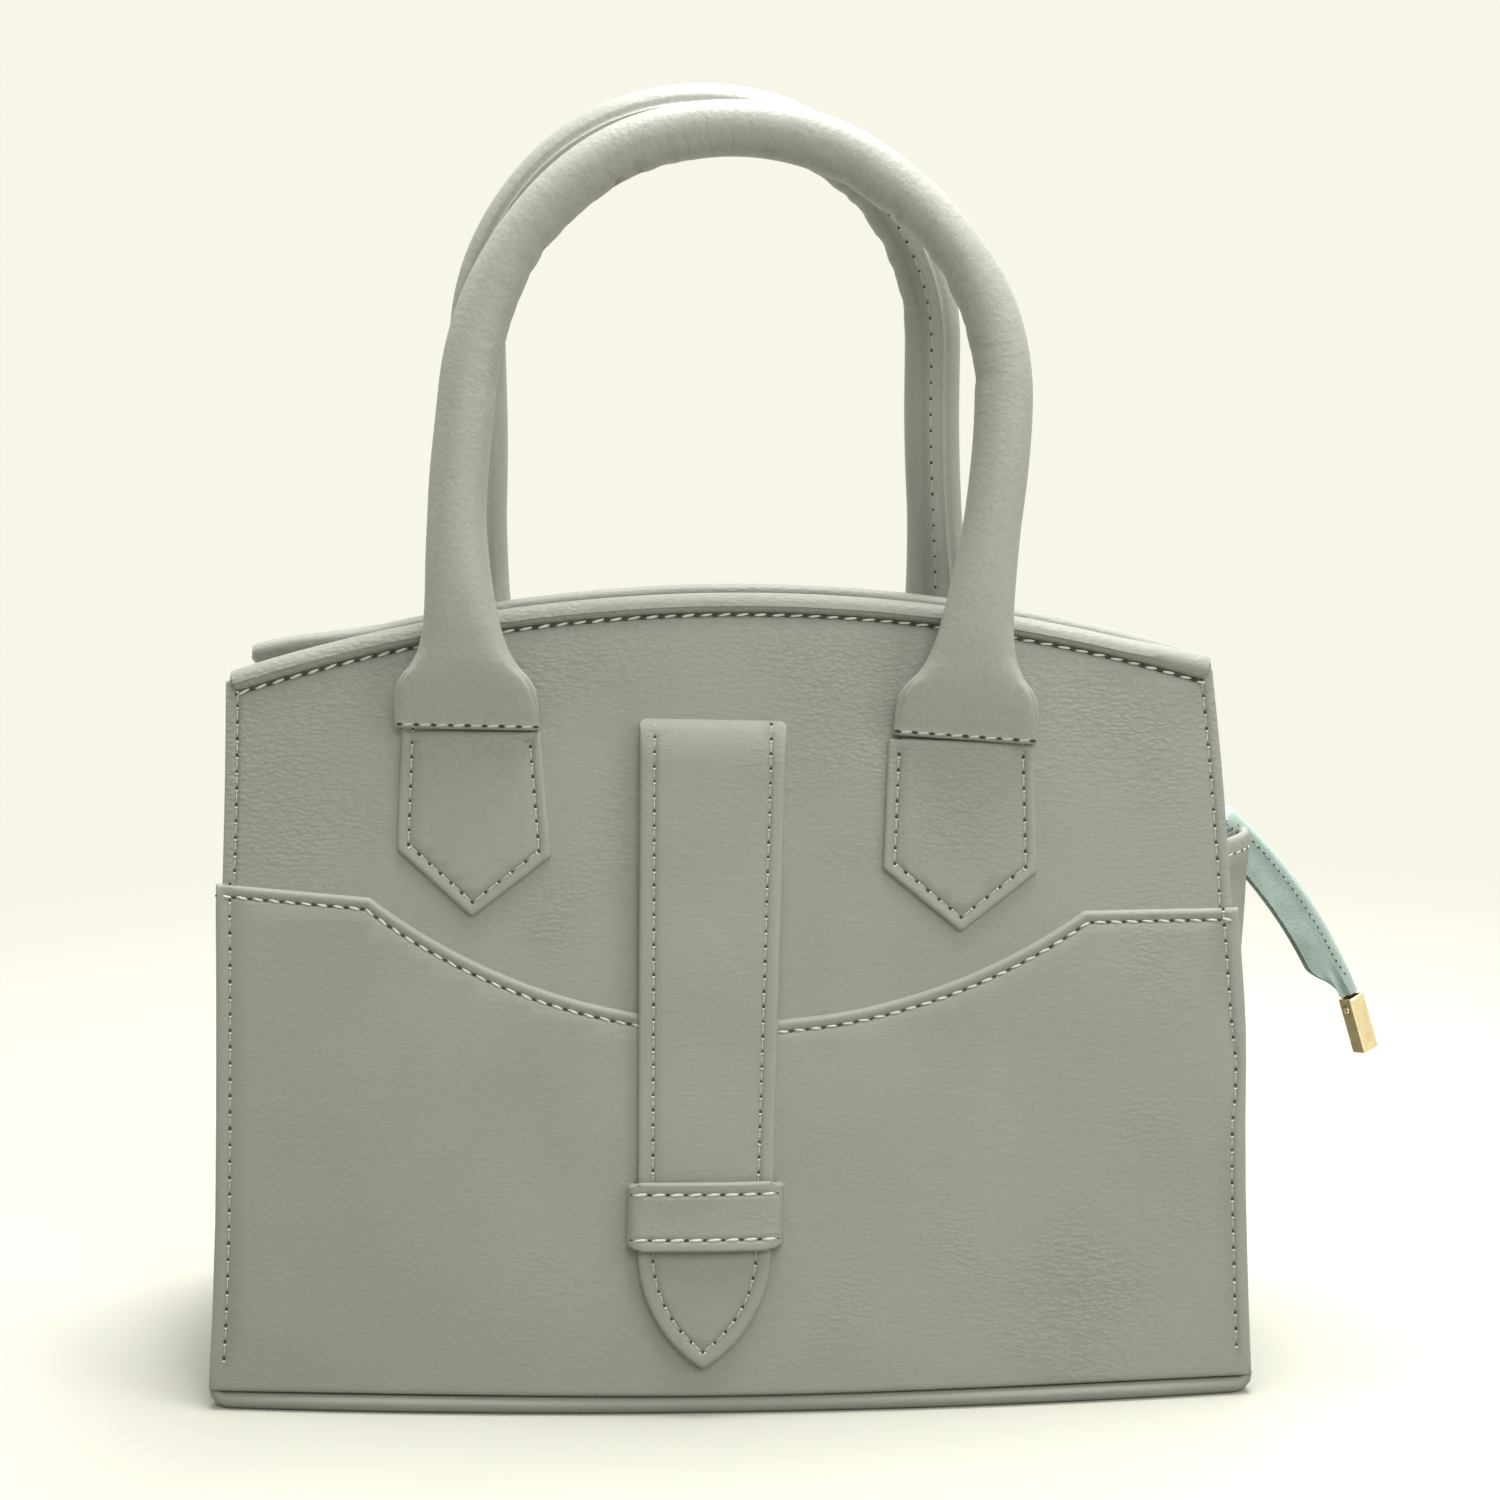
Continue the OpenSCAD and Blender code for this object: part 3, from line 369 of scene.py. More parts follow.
def shrunk(points, depth):
    """A closed pattern moved inwards. Corners that run into each other end in one place."""
    closed = [Vector(p) for p in points]
    area = sum(a.x * b.y - a.y * b.x for a, b in zip(closed, closed[1:] + closed[:1]))
    hand = 1.0 if area > 0 else -1.0
    moved = []
    for i, point in enumerate(closed):
        first = (point - closed[i - 1]).normalized()
        last = (closed[(i + 1) % len(closed)] - point).normalized()
        normals = [Vector((-w.y, w.x)) * hand for w in (first, last)]
        middle = (normals[0] + normals[1]).normalized()
        moved.append(point + middle * depth / max(middle.dot(normals[0]), 0.3))
    gaps = distances([tuple(m) for m in moved], [list(points) + [points[0]]])
    good = [gap > depth * 0.985 - 0.004 for gap in gaps]
    if all(good) or not any(good):
        return [tuple(m) for m in moved]
    count = len(closed)
    start = good.index(True)
    i = start
    while i < start + count:
        if good[i % count]:
            i += 1
            continue
        end = i
        while not good[end % count]:
            end += 1
        before, after = (i - 1) % count, end % count
        way_in = closed[(before + 1) % count] - closed[before]
        way_out = closed[after] - closed[after - 1]
        cross = way_in.x * way_out.y - way_in.y * way_out.x
        if abs(cross) > 1e-6:
            gap = moved[after] - moved[before]
            meet = moved[before] + way_in * ((gap.x * way_out.y - gap.y * way_out.x) / cross)
        else:
            meet = (moved[before] + moved[after]) / 2
        for k in range(i, end):
            moved[k % count] = meet
        i = end
    return [tuple(m) for m in moved]


def open_run(points):
    """The points of a pattern without repeats."""
    run = points[:1]
    for point in points:
        if math.dist(point, run[-1]) > 0.05:
            run.append(point)
    return run


def inside(points, distance):
    """The run that lies a distance to the left of an open run of points."""
    result = []
    for i, point in enumerate(points):
        a = Vector(points[max(i - 1, 0)])
        b = Vector(points[min(i + 1, len(points) - 1)])
        p = Vector(point)
        ways = [w.normalized() for w in (p - a, b - p) if w.length > 1e-6]
        normals = [Vector((-w.y, w.x)) for w in ways]
        middle = sum(normals, Vector((0, 0))).normalized()
        result.append(tuple(p + middle * distance / max(middle.dot(normals[0]), 0.35)))
    return result


def wall_edge(s, side, inset=0.0):
    """A wall's side edge. Only the front leather, which is given without an inset, runs past its pattern."""
    return side * (edge_x(s) - inset + (float(np.interp(s, *WALL_SIDES[side])) if inset == 0 else 0.0))


def wall_outline(inset=0.0, drop=0.0, h=0.0):
    ends = {}
    for side in (-1, 1):
        low, high = 1.0, SIDE_H
        for _ in range(8):
            low = foot_s(wall_edge(low, side, inset), h)
            high = crown(wall_edge(high, side, inset), drop)
        ends[side] = (low, high)
    foot = [(x, foot_s(x, h))
            for x in np.linspace(wall_edge(ends[-1][0], -1, inset), wall_edge(ends[1][0], 1, inset), 33)]
    right = [(wall_edge(s, 1, inset), s) for s in np.linspace(*ends[1], 16)[1:-1]]
    mouth = [(x, crown(x, drop))
             for x in np.linspace(wall_edge(ends[1][1], 1, inset), wall_edge(ends[-1][1], -1, inset), 41)]
    left = [(wall_edge(s, -1, inset), s) for s in np.linspace(ends[-1][1], ends[-1][0], 16)[1:-1]]
    return foot + right + mouth + left


def overlay_edge():
    """Upper edge of the overlay, from right to left."""
    radius = (DIP_HALF ** 2 + OVERLAY_DIP ** 2) / (2 * OVERLAY_DIP)
    reach = HALF_W + OVERLAY_GROW
    run = [(reach - 3.5, 2.2)]
    run += [(t, radius - OVERLAY_DIP + 0.9 - math.sqrt(radius ** 2 - t * t))
            for t in np.linspace(DIP_HALF, -DIP_HALF, 49)]
    run += [(3.5 - reach, 3.6)]
    return [turned(p, OVERLAY_SLANT, (0.0, OVERLAY_H)) for p in run]


def overlay_side(s, side):
    """The overlay's side edge, which swells past the wall's."""
    return side * (edge_x(s) + float(np.interp(s, *OVERLAY_SIDES[side])))


def overlay_outline():
    """The foot from left to right, the right side upwards, the upper edge, and the left side downwards."""
    run = overlay_edge()
    right_s, left_s = run[0][1], run[-1][1]
    low = foot_s(HALF_W, OVERLAY) + FOOT_GAP
    foot = [(x, foot_s(x, OVERLAY) + FOOT_GAP) for x in np.linspace(overlay_side(low, -1), overlay_side(low, 1), 33)]
    right = [(overlay_side(s, 1), s) for s in np.linspace(low, right_s, 16)[1:]]
    left = [(overlay_side(s, -1), s) for s in np.linspace(left_s, low, 16)[:-1]]
    return foot, right, run[1:-1], left


def strap_outline():
    """Left side downwards, round the tip and up again, then the upper end."""
    radius = (STRAP_HALF ** 2 + STRAP_POINT ** 2) / (2 * STRAP_HALF)
    sweep = math.asin(STRAP_POINT / radius)
    left = [(-STRAP_TOP_HALF, 0.0)]
    for t in np.linspace(0, 0.93, 15):
        a = math.pi + sweep * t
        left.append((radius - STRAP_HALF + radius * math.cos(a), -STRAP_STRAIGHT + radius * math.sin(a)))
    tip = [(0.0, -STRAP_STRAIGHT - STRAP_POINT)]
    right = [(-x, y) for x, y in reversed(left)]
    return divided(eased([turned(p, STRAP_SLANT, STRAP_AT) for p in left + tip + right], 1.8))


def tab_outline(side, handle):
    """Left side downwards, the point, and up the right side."""
    top, shoulder, tip = 163.7 - HINGE_S, 131.7 - HINGE_S, 115.5 - HINGE_S
    points = [(-TAB_TOP_HALF, top), (-TAB_HALF, shoulder), (0.0, tip), (TAB_HALF, shoulder), (TAB_TOP_HALF, top)]
    cut = FRONT_TABS[side] if handle is FRONT_HANDLE else ((0.0, 0.0),) * 5
    return [turned((x + dx + side * TAB_SPACING / 2, y + dy), handle["slant"], (handle["at"][0], HINGE_S))
            for (x, y), (dx, dy) in zip(points, cut)]


# ---- Making pieces ----

def finish_piece(name, mesh, finish, *nodes, body="root", slot=None):
    """Scales a bmesh to metres, softens it and hands it to the frame in place of the named nodes."""
    bmesh.ops.transform(mesh, matrix=Matrix.Scale(METRE, 4), verts=mesh.verts)
    for part in mesh.faces:
        part.smooth = True
    for edge in mesh.edges:
        edge.smooth = len(edge.link_faces) != 2 or edge.calc_face_angle(0.0) < SMOOTH_BELOW
    data = bpy.data.meshes.new(name)
    mesh.to_mesh(data)
    mesh.free()
    piece = bpy.data.objects.new(name, data)
    bpy.context.scene.collection.objects.link(piece)
    data.materials.append(material(finish))
    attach(piece, body)
    if nodes:
        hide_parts(*nodes)


def distances(points, runs):
    """Distance of each point from the nearest of some runs."""
    points = np.asarray(points, float)
    best = np.full(len(points), 1e3)
    for run in runs:
        run = np.asarray(run, float)
        for a, b in zip(run[:-1], run[1:]):
            way = b - a
            t = np.clip(((points - a) @ way) / max(way @ way, 1e-9), 0, 1)
            best = np.minimum(best, np.linalg.norm(points - a - t[:, None] * way, axis=1))
    return best


def rounded_edge(distance, radius):
    inner = max(0.0, radius - distance)
    return radius - math.sqrt(max(0.0, radius * radius - inner * inner))


def pressed(top, base=0.0, edge=0.6, groove=None, swell=0.0, both=False):
    """Height profile of a cut piece: rounded edges, a pressed seam and a little padding beside it."""
    def height(x, s, d, q):
        depth = size("groove_depth") if groove is None else groove
        dent = depth * math.exp(-(q / GROOVE_HALF) ** 2)
        pad = swell * math.exp(-((q - 1.9) / 1.1) ** 2)
        low = rounded_edge(d, edge) if both else 0.0
        return top - rounded_edge(d, edge) - dent + pad, base + low
    return height


def cut_sheet(outline, place, height, cell, loops=(), seams=()):
    """Cuts a closed pattern from a sheet, gives it thickness and bends it into place."""
    outline = divided(outline)
    mesh = bmesh.new()
    rim = mesh.verts.layers.float.new("edge")
    seam = mesh.verts.layers.float.new("seam")
    uv = mesh.loops.layers.uv.new("flat")
    blank = mesh.faces.new([mesh.verts.new((x, s, 0.0)) for x, s in outline])
    for depth in sorted(loops):
        blank = bmesh.ops.extrude_discrete_faces(mesh, faces=[blank])["faces"][0]
        for v, (x, s) in zip(blank.verts, shrunk(outline, depth)):
            v.co = (x, s, 0.0)
    bmesh.ops.remove_doubles(mesh, verts=mesh.verts[:], dist=0.02)
    low = [min(p[i] for p in outline) for i in (0, 1)]
    high = [max(p[i] for p in outline) for i in (0, 1)]
    for axis in (0, 1):
        normal = Vector((1, 0, 0)) if axis == 0 else Vector((0, 1, 0))
        count = max(1, round((high[axis] - low[axis]) / cell))
        for k in range(1, count):
            at = low[axis] + (high[axis] - low[axis]) * k / count
            bmesh.ops.bisect_plane(mesh, geom=mesh.verts[:] + mesh.edges[:] + mesh.faces[:], dist=1e-4,
                                   plane_co=normal * at, plane_no=normal)
    bmesh.ops.remove_doubles(mesh, verts=mesh.verts[:], dist=0.02)
    raised = bmesh.ops.extrude_face_region(mesh, geom=mesh.faces[:])["geom"]
    upper = {v for v in raised if isinstance(v, bmesh.types.BMVert)}
    verts = mesh.verts[:]
    flat = [(v.co.x, v.co.y) for v in verts]
    edge_gap = distances(flat, [list(outline) + [outline[0]]])
    seam_gap = distances(flat, seams) if seams else np.full(len(flat), 1e3)
    where = {}
    for v, (x, s), d, q in zip(verts, flat, edge_gap, seam_gap):
        where[v] = (x, s)
        top, base = height(x, s, float(d), float(q))
        # Marks for the leather's colour: lighter towards the cut edge, and painted shade along the seams
        v[rim] = math.exp(-d / 0.55)
        v[seam] = math.exp(-(q / 0.9) ** 2)
        v.co = place(x, s, top if v in upper else base)
    for part in mesh.faces:
        for corner in part.loops:
            corner[uv].uv = where[corner.vert]
    bmesh.ops.recalc_face_normals(mesh, faces=mesh.faces[:])
    return mesh


def loft(rows, columns, place, span=(1.0, 1.0), closed=False, values=None):
    """Bends a grid into a skin. place takes shares 0 to 1 along and across, span is the flat size."""
    mesh = bmesh.new()
    uv = mesh.loops.layers.uv.new("flat")
    crease = mesh.verts.layers.float.new("crease")
    bmesh.ops.create_grid(mesh, x_segments=rows, y_segments=columns, size=0.5)
    low = min(v.co.x for v in mesh.verts)
    wide = max(v.co.x for v in mesh.verts) - low
    shares = {v: ((v.co.x - low) / wide, (v.co.y - low) / wide) for v in mesh.verts}
    for part in mesh.faces:
        for corner in part.loops:
            u, v = shares[corner.vert]
            corner[uv].uv = (u * span[0], v * span[1])
    for vert, (u, v) in shares.items():
        vert.co = place(u, v)
        if values:
            vert[crease] = values(u, v)
    bmesh.ops.remove_doubles(mesh, verts=mesh.verts[:], dist=1e-3)
    rims = [e for e in mesh.edges if e.is_boundary]
    if closed and rims:
        bmesh.ops.holes_fill(mesh, edges=rims, sides=0)
    bmesh.ops.recalc_face_normals(mesh, faces=mesh.faces[:])
    return mesh


def sweep(path, radius, rows, columns, reference):
    """A tube with closed ends along a path of shares 0 to 1."""
    def place(u, v):
        u_low, u_high = max(u - 0.002, 0.0), min(u + 0.002, 1.0)
        way = (path(u_high) - path(u_low)).normalized()
        first = (reference - way * reference.dot(way)).normalized()
        second = way.cross(first)
        a = 2 * math.pi * v
        return path(u) + (first * math.cos(a) + second * math.sin(a)) * radius(u)
    length = sum((path((k + 1) / 50) - path(k / 50)).length for k in range(50))
    return loft(rows, columns, place, (length, 2 * math.pi * radius(0.5)), closed=True)


# ---- Sewing ----

def along(run, pitch):
    """Stitch ends along a run, evenly spread."""
    points = [Vector(p) for p in run]
    lengths = [0.0]
    for a, b in zip(points[:-1], points[1:]):
        lengths.append(lengths[-1] + (b - a).length)
    count = max(1, round(lengths[-1] / pitch))
    marks = []
    for k in range(2 * count + 1):
        want = lengths[-1] * k / (2 * count)
        i = min(max(j for j, at in enumerate(lengths) if at <= want + 1e-9), len(points) - 2)
        step = lengths[i + 1] - lengths[i]
        t = (want - lengths[i]) / step if step > 1e-9 else 0.0
        marks.append((points[i].lerp(points[i + 1], t), (points[i + 1] - points[i]).normalized()))
    return marks[0::2], marks[1::2], lengths[-1] / count


def sew(name, runs, place, height, pitch, body="root", fill=0.7, width=1.0, slant=6.0, hole=1.0, sunk=False):
    """Sets stitches along runs of pattern points, each needle hole drawn as a flat dark bead of painted shade. Sunk
    ones show most of their thread at the hole.
    """
    dice = random.Random(name)
    thread, hole_shades = bmesh.new(), bmesh.new()
    radius = size("thread_width") / 2 * width

    def bead(target, at, way, angle, h, half):
        """One rounded bead, laid on the surface with its half sizes across, up and along."""
        step = Vector(way) * 0.2
        here = place(at.x, at.y, h)
        ahead = (place(at.x + step.x, at.y + step.y, h) - here).normalized()
        across = (place(at.x - step.y, at.y + step.x, h) - here).normalized()
        up = ahead.cross(across).normalized()
        if up.dot(place(at.x, at.y, h + 1) - here) < 0:
            up = -up
        ahead = (Matrix.Rotation(angle, 3, up) @ ahead).normalized()
        across = up.cross(ahead)
        spot = Matrix((across * half[0], up * half[1], ahead * half[2])).transposed().to_4x4()
        spot.translation = here
        bmesh.ops.create_uvsphere(target, u_segments=6, v_segments=5, radius=1.0, matrix=spot)

    for run in runs:
        ends, middles, step = along(run, pitch)
        for at, way in middles:
            angle = math.radians(slant + dice.uniform(-3.5, 3.5))
            reach = step * fill / 2 * dice.uniform(0.92, 1.05)
            if sunk:
                bead(thread, at, way, 0.0, height - 0.12, (radius * 0.48, radius * 0.5, step * 0.36))
            else:
                bead(thread, at, way, angle, height, (radius * dice.uniform(0.9, 1.1), radius * 0.9, reach))
        for at, way in ends:
            r = (0.45 if sunk else 0.4) * hole * dice.uniform(0.85, 1.15)
            if sunk:
                shift = at + way * (r * 1.7)
                bead(thread, shift, way, dice.uniform(-0.3, 0.3), height + 0.02,
                     (radius * 1.55, radius * 0.8, radius * 0.95))
            stretch = 1.05 if sunk else 1.7
            # The hole's pit as painted shade: a flat dark bead on the surface
            bead(hole_shades, at, way, 0.0, height + 0.02, (r, 0.14, r * stretch))
    finish_piece(name + "_thread", thread, "stitch_thread", body=body)
    finish_piece(name + "_holes", hole_shades, "needle_hole", body=body)


# ---- Materials ----

class Term:
    """A shader value that takes part in sums."""
    def __init__(self, shader, socket):
        self.shader, self.socket = shader, socket

    def __add__(self, other):
        return self.shader.sum_up("ADD", self, other)

    def __rsub__(self, other):
        return self.shader.sum_up("SUBTRACT", other, self)

    def __mul__(self, other):
        return self.shader.sum_up("MULTIPLY", self, other)

    __radd__ = __add__
    __rmul__ = __mul__


class Shader:
    """A node material in the making."""
    def __init__(self, name):
        self.material = bpy.data.materials.new(name)
        self.material.use_nodes = True
        self.tree = self.material.node_tree
        self.tree.nodes.clear()

    def node(self, kind, settings=None, inputs=None, out=0):
        made = self.tree.nodes.new(kind)
        for key, value in (settings or {}).items():
            setattr(made, key, value)
        for key, value in (inputs or {}).items():
            if isinstance(value, Term):
                self.tree.links.new(value.socket, made.inputs[key])
            else:
                made.inputs[key].default_value = value
        return Term(self, made.outputs[out]) if len(made.outputs) else made

    def sum_up(self, operation, a, b):
        return self.node("ShaderNodeMath", {"operation": operation}, {0: a, 1: b})

    def place(self, scale=(1000.0, 1000.0, 1000.0), turn=(0.0, 0.0, 0.0)):
        spot = self.node("ShaderNodeTexCoord", out="Object")
        return self.node("ShaderNodeMapping", None, {"Vector": spot, "Scale": scale, "Rotation": turn})

    def flat(self, scale=(1.0, 1.0, 1.0), turn=(0.0, 0.0, 0.0)):
        spot = self.node("ShaderNodeUVMap", {"uv_map": "flat"})
        return self.node("ShaderNodeMapping", None, {"Vector": spot, "Scale": scale, "Rotation": turn})

    def cloud(self, vector, scale, detail=2.0, roughness=0.5, out=0):
        return self.node("ShaderNodeTexNoise", None, {"Vector": vector, "Scale": scale, "Detail": detail,
                                                      "Roughness": roughness}, out)

    def wave(self, vector, direction, scale, distortion, detail, detail_scale=1.0):
        return self.node("ShaderNodeTexWave", {"wave_type": "BANDS", "bands_direction": direction},
                         {"Vector": vector, "Scale": scale, "Distortion": distortion, "Detail": detail,
                          "Detail Scale": detail_scale})

    def warped(self, drift, reach, vector):
        """A vector shifted by the colours of a cloud."""
        return self.node("ShaderNodeVectorMath", {"operation": "MULTIPLY_ADD"}, {0: drift, 1: reach, 2: vector})

    def steps(self, value, low, high):
        return self.node("ShaderNodeMapRange", {"interpolation_type": "SMOOTHSTEP"},
                         {"Value": value, "From Min": low, "From Max": high})

    def bare(self):
        """One for rays from the camera and from glossy faces, which see the plain backdrop."""
        seen = self.node("ShaderNodeLightPath", out="Is Camera Ray")
        mirrored = self.node("ShaderNodeLightPath", out="Is Glossy Ray")
        return self.sum_up("MINIMUM", seen + mirrored, 1.0)

    def mix(self, factor, first, second):
        return self.node("ShaderNodeMix", {"data_type": "RGBA"}, {0: factor, 6: first, 7: second}, out=2)

    def mark(self, name):
        return self.node("ShaderNodeAttribute", {"attribute_name": name}, out="Fac")

    def finish(self, base, roughness, height=None, **fixed):
        inputs = {"Base Color": base, "Roughness": roughness}
        if height is not None:
            inputs["Normal"] = self.node("ShaderNodeBump", None, {"Height": height, "Distance": METRE, "Strength": 1.0})
        inputs.update({key.replace("_", " "): value for key, value in fixed.items()})
        surface = self.node("ShaderNodeBsdfPrincipled", None, inputs)
        self.node("ShaderNodeOutputMaterial", None, {"Surface": surface})
        return self.material


def grained_leather(shader):
    """Fine pebbled leather with soft crumples, plumper where the hide is looser. Its colour has painted shade in the
    grain's valleys and along the seams, and is lighter towards the cut edges.
    """
    spot = shader.place()
    drift = shader.cloud(spot, 0.35, 2.0, out=1)
    warped = shader.warped(drift, (1.6, 1.6, 1.6), shader.place((620.0, 1000.0, 1200.0)))
    cells = shader.node("ShaderNodeTexVoronoi", {"feature": "SMOOTH_F1"},
                        {"Vector": warped, "Scale": 0.85, "Smoothness": 0.35, "Randomness": 1.0})
    pebble = 1.0 - shader.steps(cells, 0.10, 0.85)
    broad = shader.cloud(spot, 0.026, 3.0, 0.55)
    patch = shader.cloud(spot, 0.016, 2.0, 0.5)
    high = shader.node("ShaderNodeSeparateXYZ", None, {0: spot}, out="Z")
    loose = shader.steps(patch + shader.steps(high, 105.0, 185.0) * 0.17, 0.54, 0.77)
    crumple = shader.cloud(warped, 0.42, 3.0, 0.55)
    streaks = shader.cloud(shader.place((260.0, 400.0, 1050.0)), 1.0, 3.0, 0.6)
    fine = shader.cloud(spot, 2.6, 3.0)
    depth = size("grain_depth")
    height = (pebble * (loose * (depth * 1.5) + depth * 0.4) + crumple * (loose * 0.10 + 0.04)
              + streaks * 0.05 + fine * (depth * 0.5))
    near_rim = shader.mark("edge")
    seam = shader.mark("seam")
    light = tint("leather", 1.11)
    # A darker copy of the leather, used to paint shade into the grain's valleys
    valley_shade = tint("leather", 0.86)
    toned = shader.mix(shader.steps(broad, 0.30, 0.72) * 0.6, tint("leather"), light)
    # Painted shade between the pebbles, deeper where the hide is looser
    pebble_shaded = shader.mix((1.0 - pebble) * (loose * 0.4 + 0.15), toned, valley_shade)
    # Lighter towards the cut edges
    edged = shader.mix(near_rim * 0.45, pebble_shaded, tint("leather", 1.3))
    # Painted shade along the pressed seams
    base = shader.mix(seam * 0.35, edged, tint("shade"))
    roughness = 0.49 - pebble * 0.05 + shader.steps(broad, 0.35, 0.70) * 0.07 + fine * 0.05
    return shader.finish(base, roughness, height, Specular_IOR_Level=0.45)


def smooth_leather(shader):
    """Handle leather: fine grain, with wrinkles across the tube where it is bent, and painted shade in the wrinkles'
    troughs and between the pebbles.
    """
    spot = shader.place()
    flat = shader.flat((1.0, 0.28, 1.0))
    drift = shader.cloud(spot, 0.30, 2.0, out=1)
    bent = shader.warped(drift, (2.0, 1.0, 1.0), flat)
    wrinkles = shader.cloud(bent, 0.42, 3.0, 0.58)
    pebble = shader.cloud(spot, 0.72, 2.0, 0.5)
    fine = shader.cloud(spot, 2.0, 3.0, 0.6)
    broad = shader.cloud(spot, 0.03, 2.0)
    crease = shader.mark("crease")
    depth = size("grain_depth")
    height = wrinkles * (crease * 0.42 + 0.05) + pebble * (depth * 3.6) + fine * (depth * 0.9)
    toned = shader.mix(shader.steps(broad, 0.3, 0.7) * 0.4, tint("smooth"), tint("smooth", 0.90))
    # Painted shade in the wrinkles' troughs on the bend and between the pebbles
    base = shader.mix(crease * shader.steps(wrinkles, 0.50, 0.28) * 0.25 + shader.steps(pebble, 0.5, 0.3) * 0.1, toned,
                      tint("shade"))
    roughness = 0.43 + fine * 0.10 + crease * 0.03
    return shader.finish(base, roughness, height, Specular_IOR_Level=0.5)


def stitch_thread(shader):
    """Bonded thread with a fine twist."""
    spot = shader.place()
    twist = shader.wave(spot, "DIAGONAL", 0.75, 1.5, 1.0)
    shade = tint("thread", 0.72)
    base = shader.mix(twist * 0.5 + shader.cloud(spot, 0.12, 2.0) * 0.5, shade, tint("thread"))
    return shader.finish(base, twist * 0.1 + 0.55, twist * 0.05)


# Painted shade of a needle hole's pit, also worn by the ring round the clamp's screw head
def needle_hole(shader):
    spot = shader.place()
    base = shader.mix(shader.cloud(spot, 1.4, 2.0), tint("hole"), tint("hole", 2.0))
    return shader.finish(base, shader.cloud(spot, 0.9) * 0.1 + 0.82, shader.cloud(spot, 4.0) * 0.03)


def twill_lining(shader):
    """Twill: raised diagonal ribs of woven yarn."""
    flat = shader.flat((1.0, 1.0, 1.0), (0.0, 0.0, math.radians(58)))
    rib = shader.wave(flat, "X", 0.42, 0.35, 2.0)
    yarn = shader.cloud(shader.flat((1.0, 0.25, 1.0)), 2.2, 3.0, 0.6)
    shade = tint("lining", 0.62)
    base = shader.mix(rib * 0.55 + yarn * 0.45, shade, tint("lining"))
    return shader.finish(base, yarn * 0.1 + 0.78, rib * 0.09 + yarn * 0.04, Sheen_Weight=0.25)


def fibre_board(shader):
    spot = shader.place()
    fibre = shader.cloud(spot, 0.9, 5.0, 0.65)
    fleck = shader.node("ShaderNodeTexVoronoi", {"feature": "F1"}, {"Vector": spot, "Scale": 0.35})
    shade = tint("board", 0.6)
    base = shader.mix(fibre * 0.7 + fleck * 0.2, shade, tint("board"))
    return shader.finish(base, fibre * 0.12 + 0.78, fibre * 0.12)


def cotton_core(shader):
    """Twisted cotton rope, its strands drawn slanting over the tube."""
    spot = shader.place()
    twist = shader.wave(spot, "DIAGONAL", 0.055, 1.0, 3.0)
    yarn = shader.cloud(spot, 1.2, 4.0, 0.6)
    shade = tint("core", 0.55)
    base = shader.mix(twist * 0.6 + yarn * 0.4, shade, tint("core"))
    return shader.finish(base, yarn * 0.1 + 0.8, twist * 0.5 + yarn * 0.1)


def woven_tape(shader):
    """Herringbone zip tape, slightly worn and shaded in its folds."""
    flat = shader.flat()
    rib = shader.wave(flat, "Y", 1.15, 1.2, 2.0, 2.0)
    weft = shader.wave(flat, "X", 0.75, 0.4, 1.0)
    yarn = shader.cloud(flat, 1.3, 4.0, 0.62)
    broad = shader.cloud(shader.place(), 0.10, 3.0, 0.6)
    weave = rib * 0.25 + weft * 0.25 + yarn * 0.50
    toned = shader.mix(weave * 0.75 + shader.steps(broad, 0.3, 0.72) * 0.35 + 0.05, tint("tape_shade"), tint("tape"))
    base = shader.mix(shader.mark("crease") * 0.55, toned, tint("tape_shade"))
    return shader.finish(base, yarn * 0.1 + 0.62, rib * 0.04 + weft * 0.032 + yarn * 0.11, Sheen_Weight=0.35)


def nylon_coil(shader):
    spot = shader.place()
    streak = shader.cloud(spot, 0.8, 3.0)
    shade = tint("coil", 0.55)
    return shader.finish(shader.mix(streak, shade, tint("coil")), streak * 0.15 + 0.26, streak * 0.03)


def gilt_metal(shader):
    """Pale gold plating with hairline scratches and faint handling marks."""
    spot = shader.place()
    hair = shader.cloud(shader.place((260.0, 2600.0, 2600.0), (0.3, 0.5, 0.2)), 1.0, 4.0, 0.65)
    marks = shader.cloud(spot, 0.35, 3.0, 0.6)
    shade = tuple(c * k for c, k in zip(tint("gold")[:3], (0.93, 0.88, 0.78))) + (1.0,)
    base = shader.mix(shader.steps(marks, 0.32, 0.62), shade, tint("gold"))
    roughness = hair * 0.10 + marks * 0.08 + 0.14
    return shader.finish(base, roughness, hair * 0.006 + marks * 0.02, Metallic=1.0)


# Each finish with the slot of the frame that it belongs to
FINISHES = {"grained_leather": (grained_leather, "leather"), "smooth_leather": (smooth_leather, "handle_leather"),
            "stitch_thread": (stitch_thread, "leather"), "needle_hole": (needle_hole, "leather"),
            "twill_lining": (twill_lining, "lining"), "fibre_board": (fibre_board, "board"),
            "cotton_core": (cotton_core, "core"), "woven_tape": (woven_tape, "zip_tape"),
            "nylon_coil": (nylon_coil, "zip_coil"), "gilt_metal": (gilt_metal, "gold")}


def material(name):
    if name not in bpy.data.materials:
        FINISHES[name][0](Shader(name))
    return bpy.data.materials[name]


def dress_node(node, name):
    """Gives a carried-over solid of the frame its finish."""
    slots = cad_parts[node].data.materials
    slots.clear()
    slots.append(material(name))


# ---- Pieces ----

FRONT, REAR = wall_place(-1), wall_place(1)


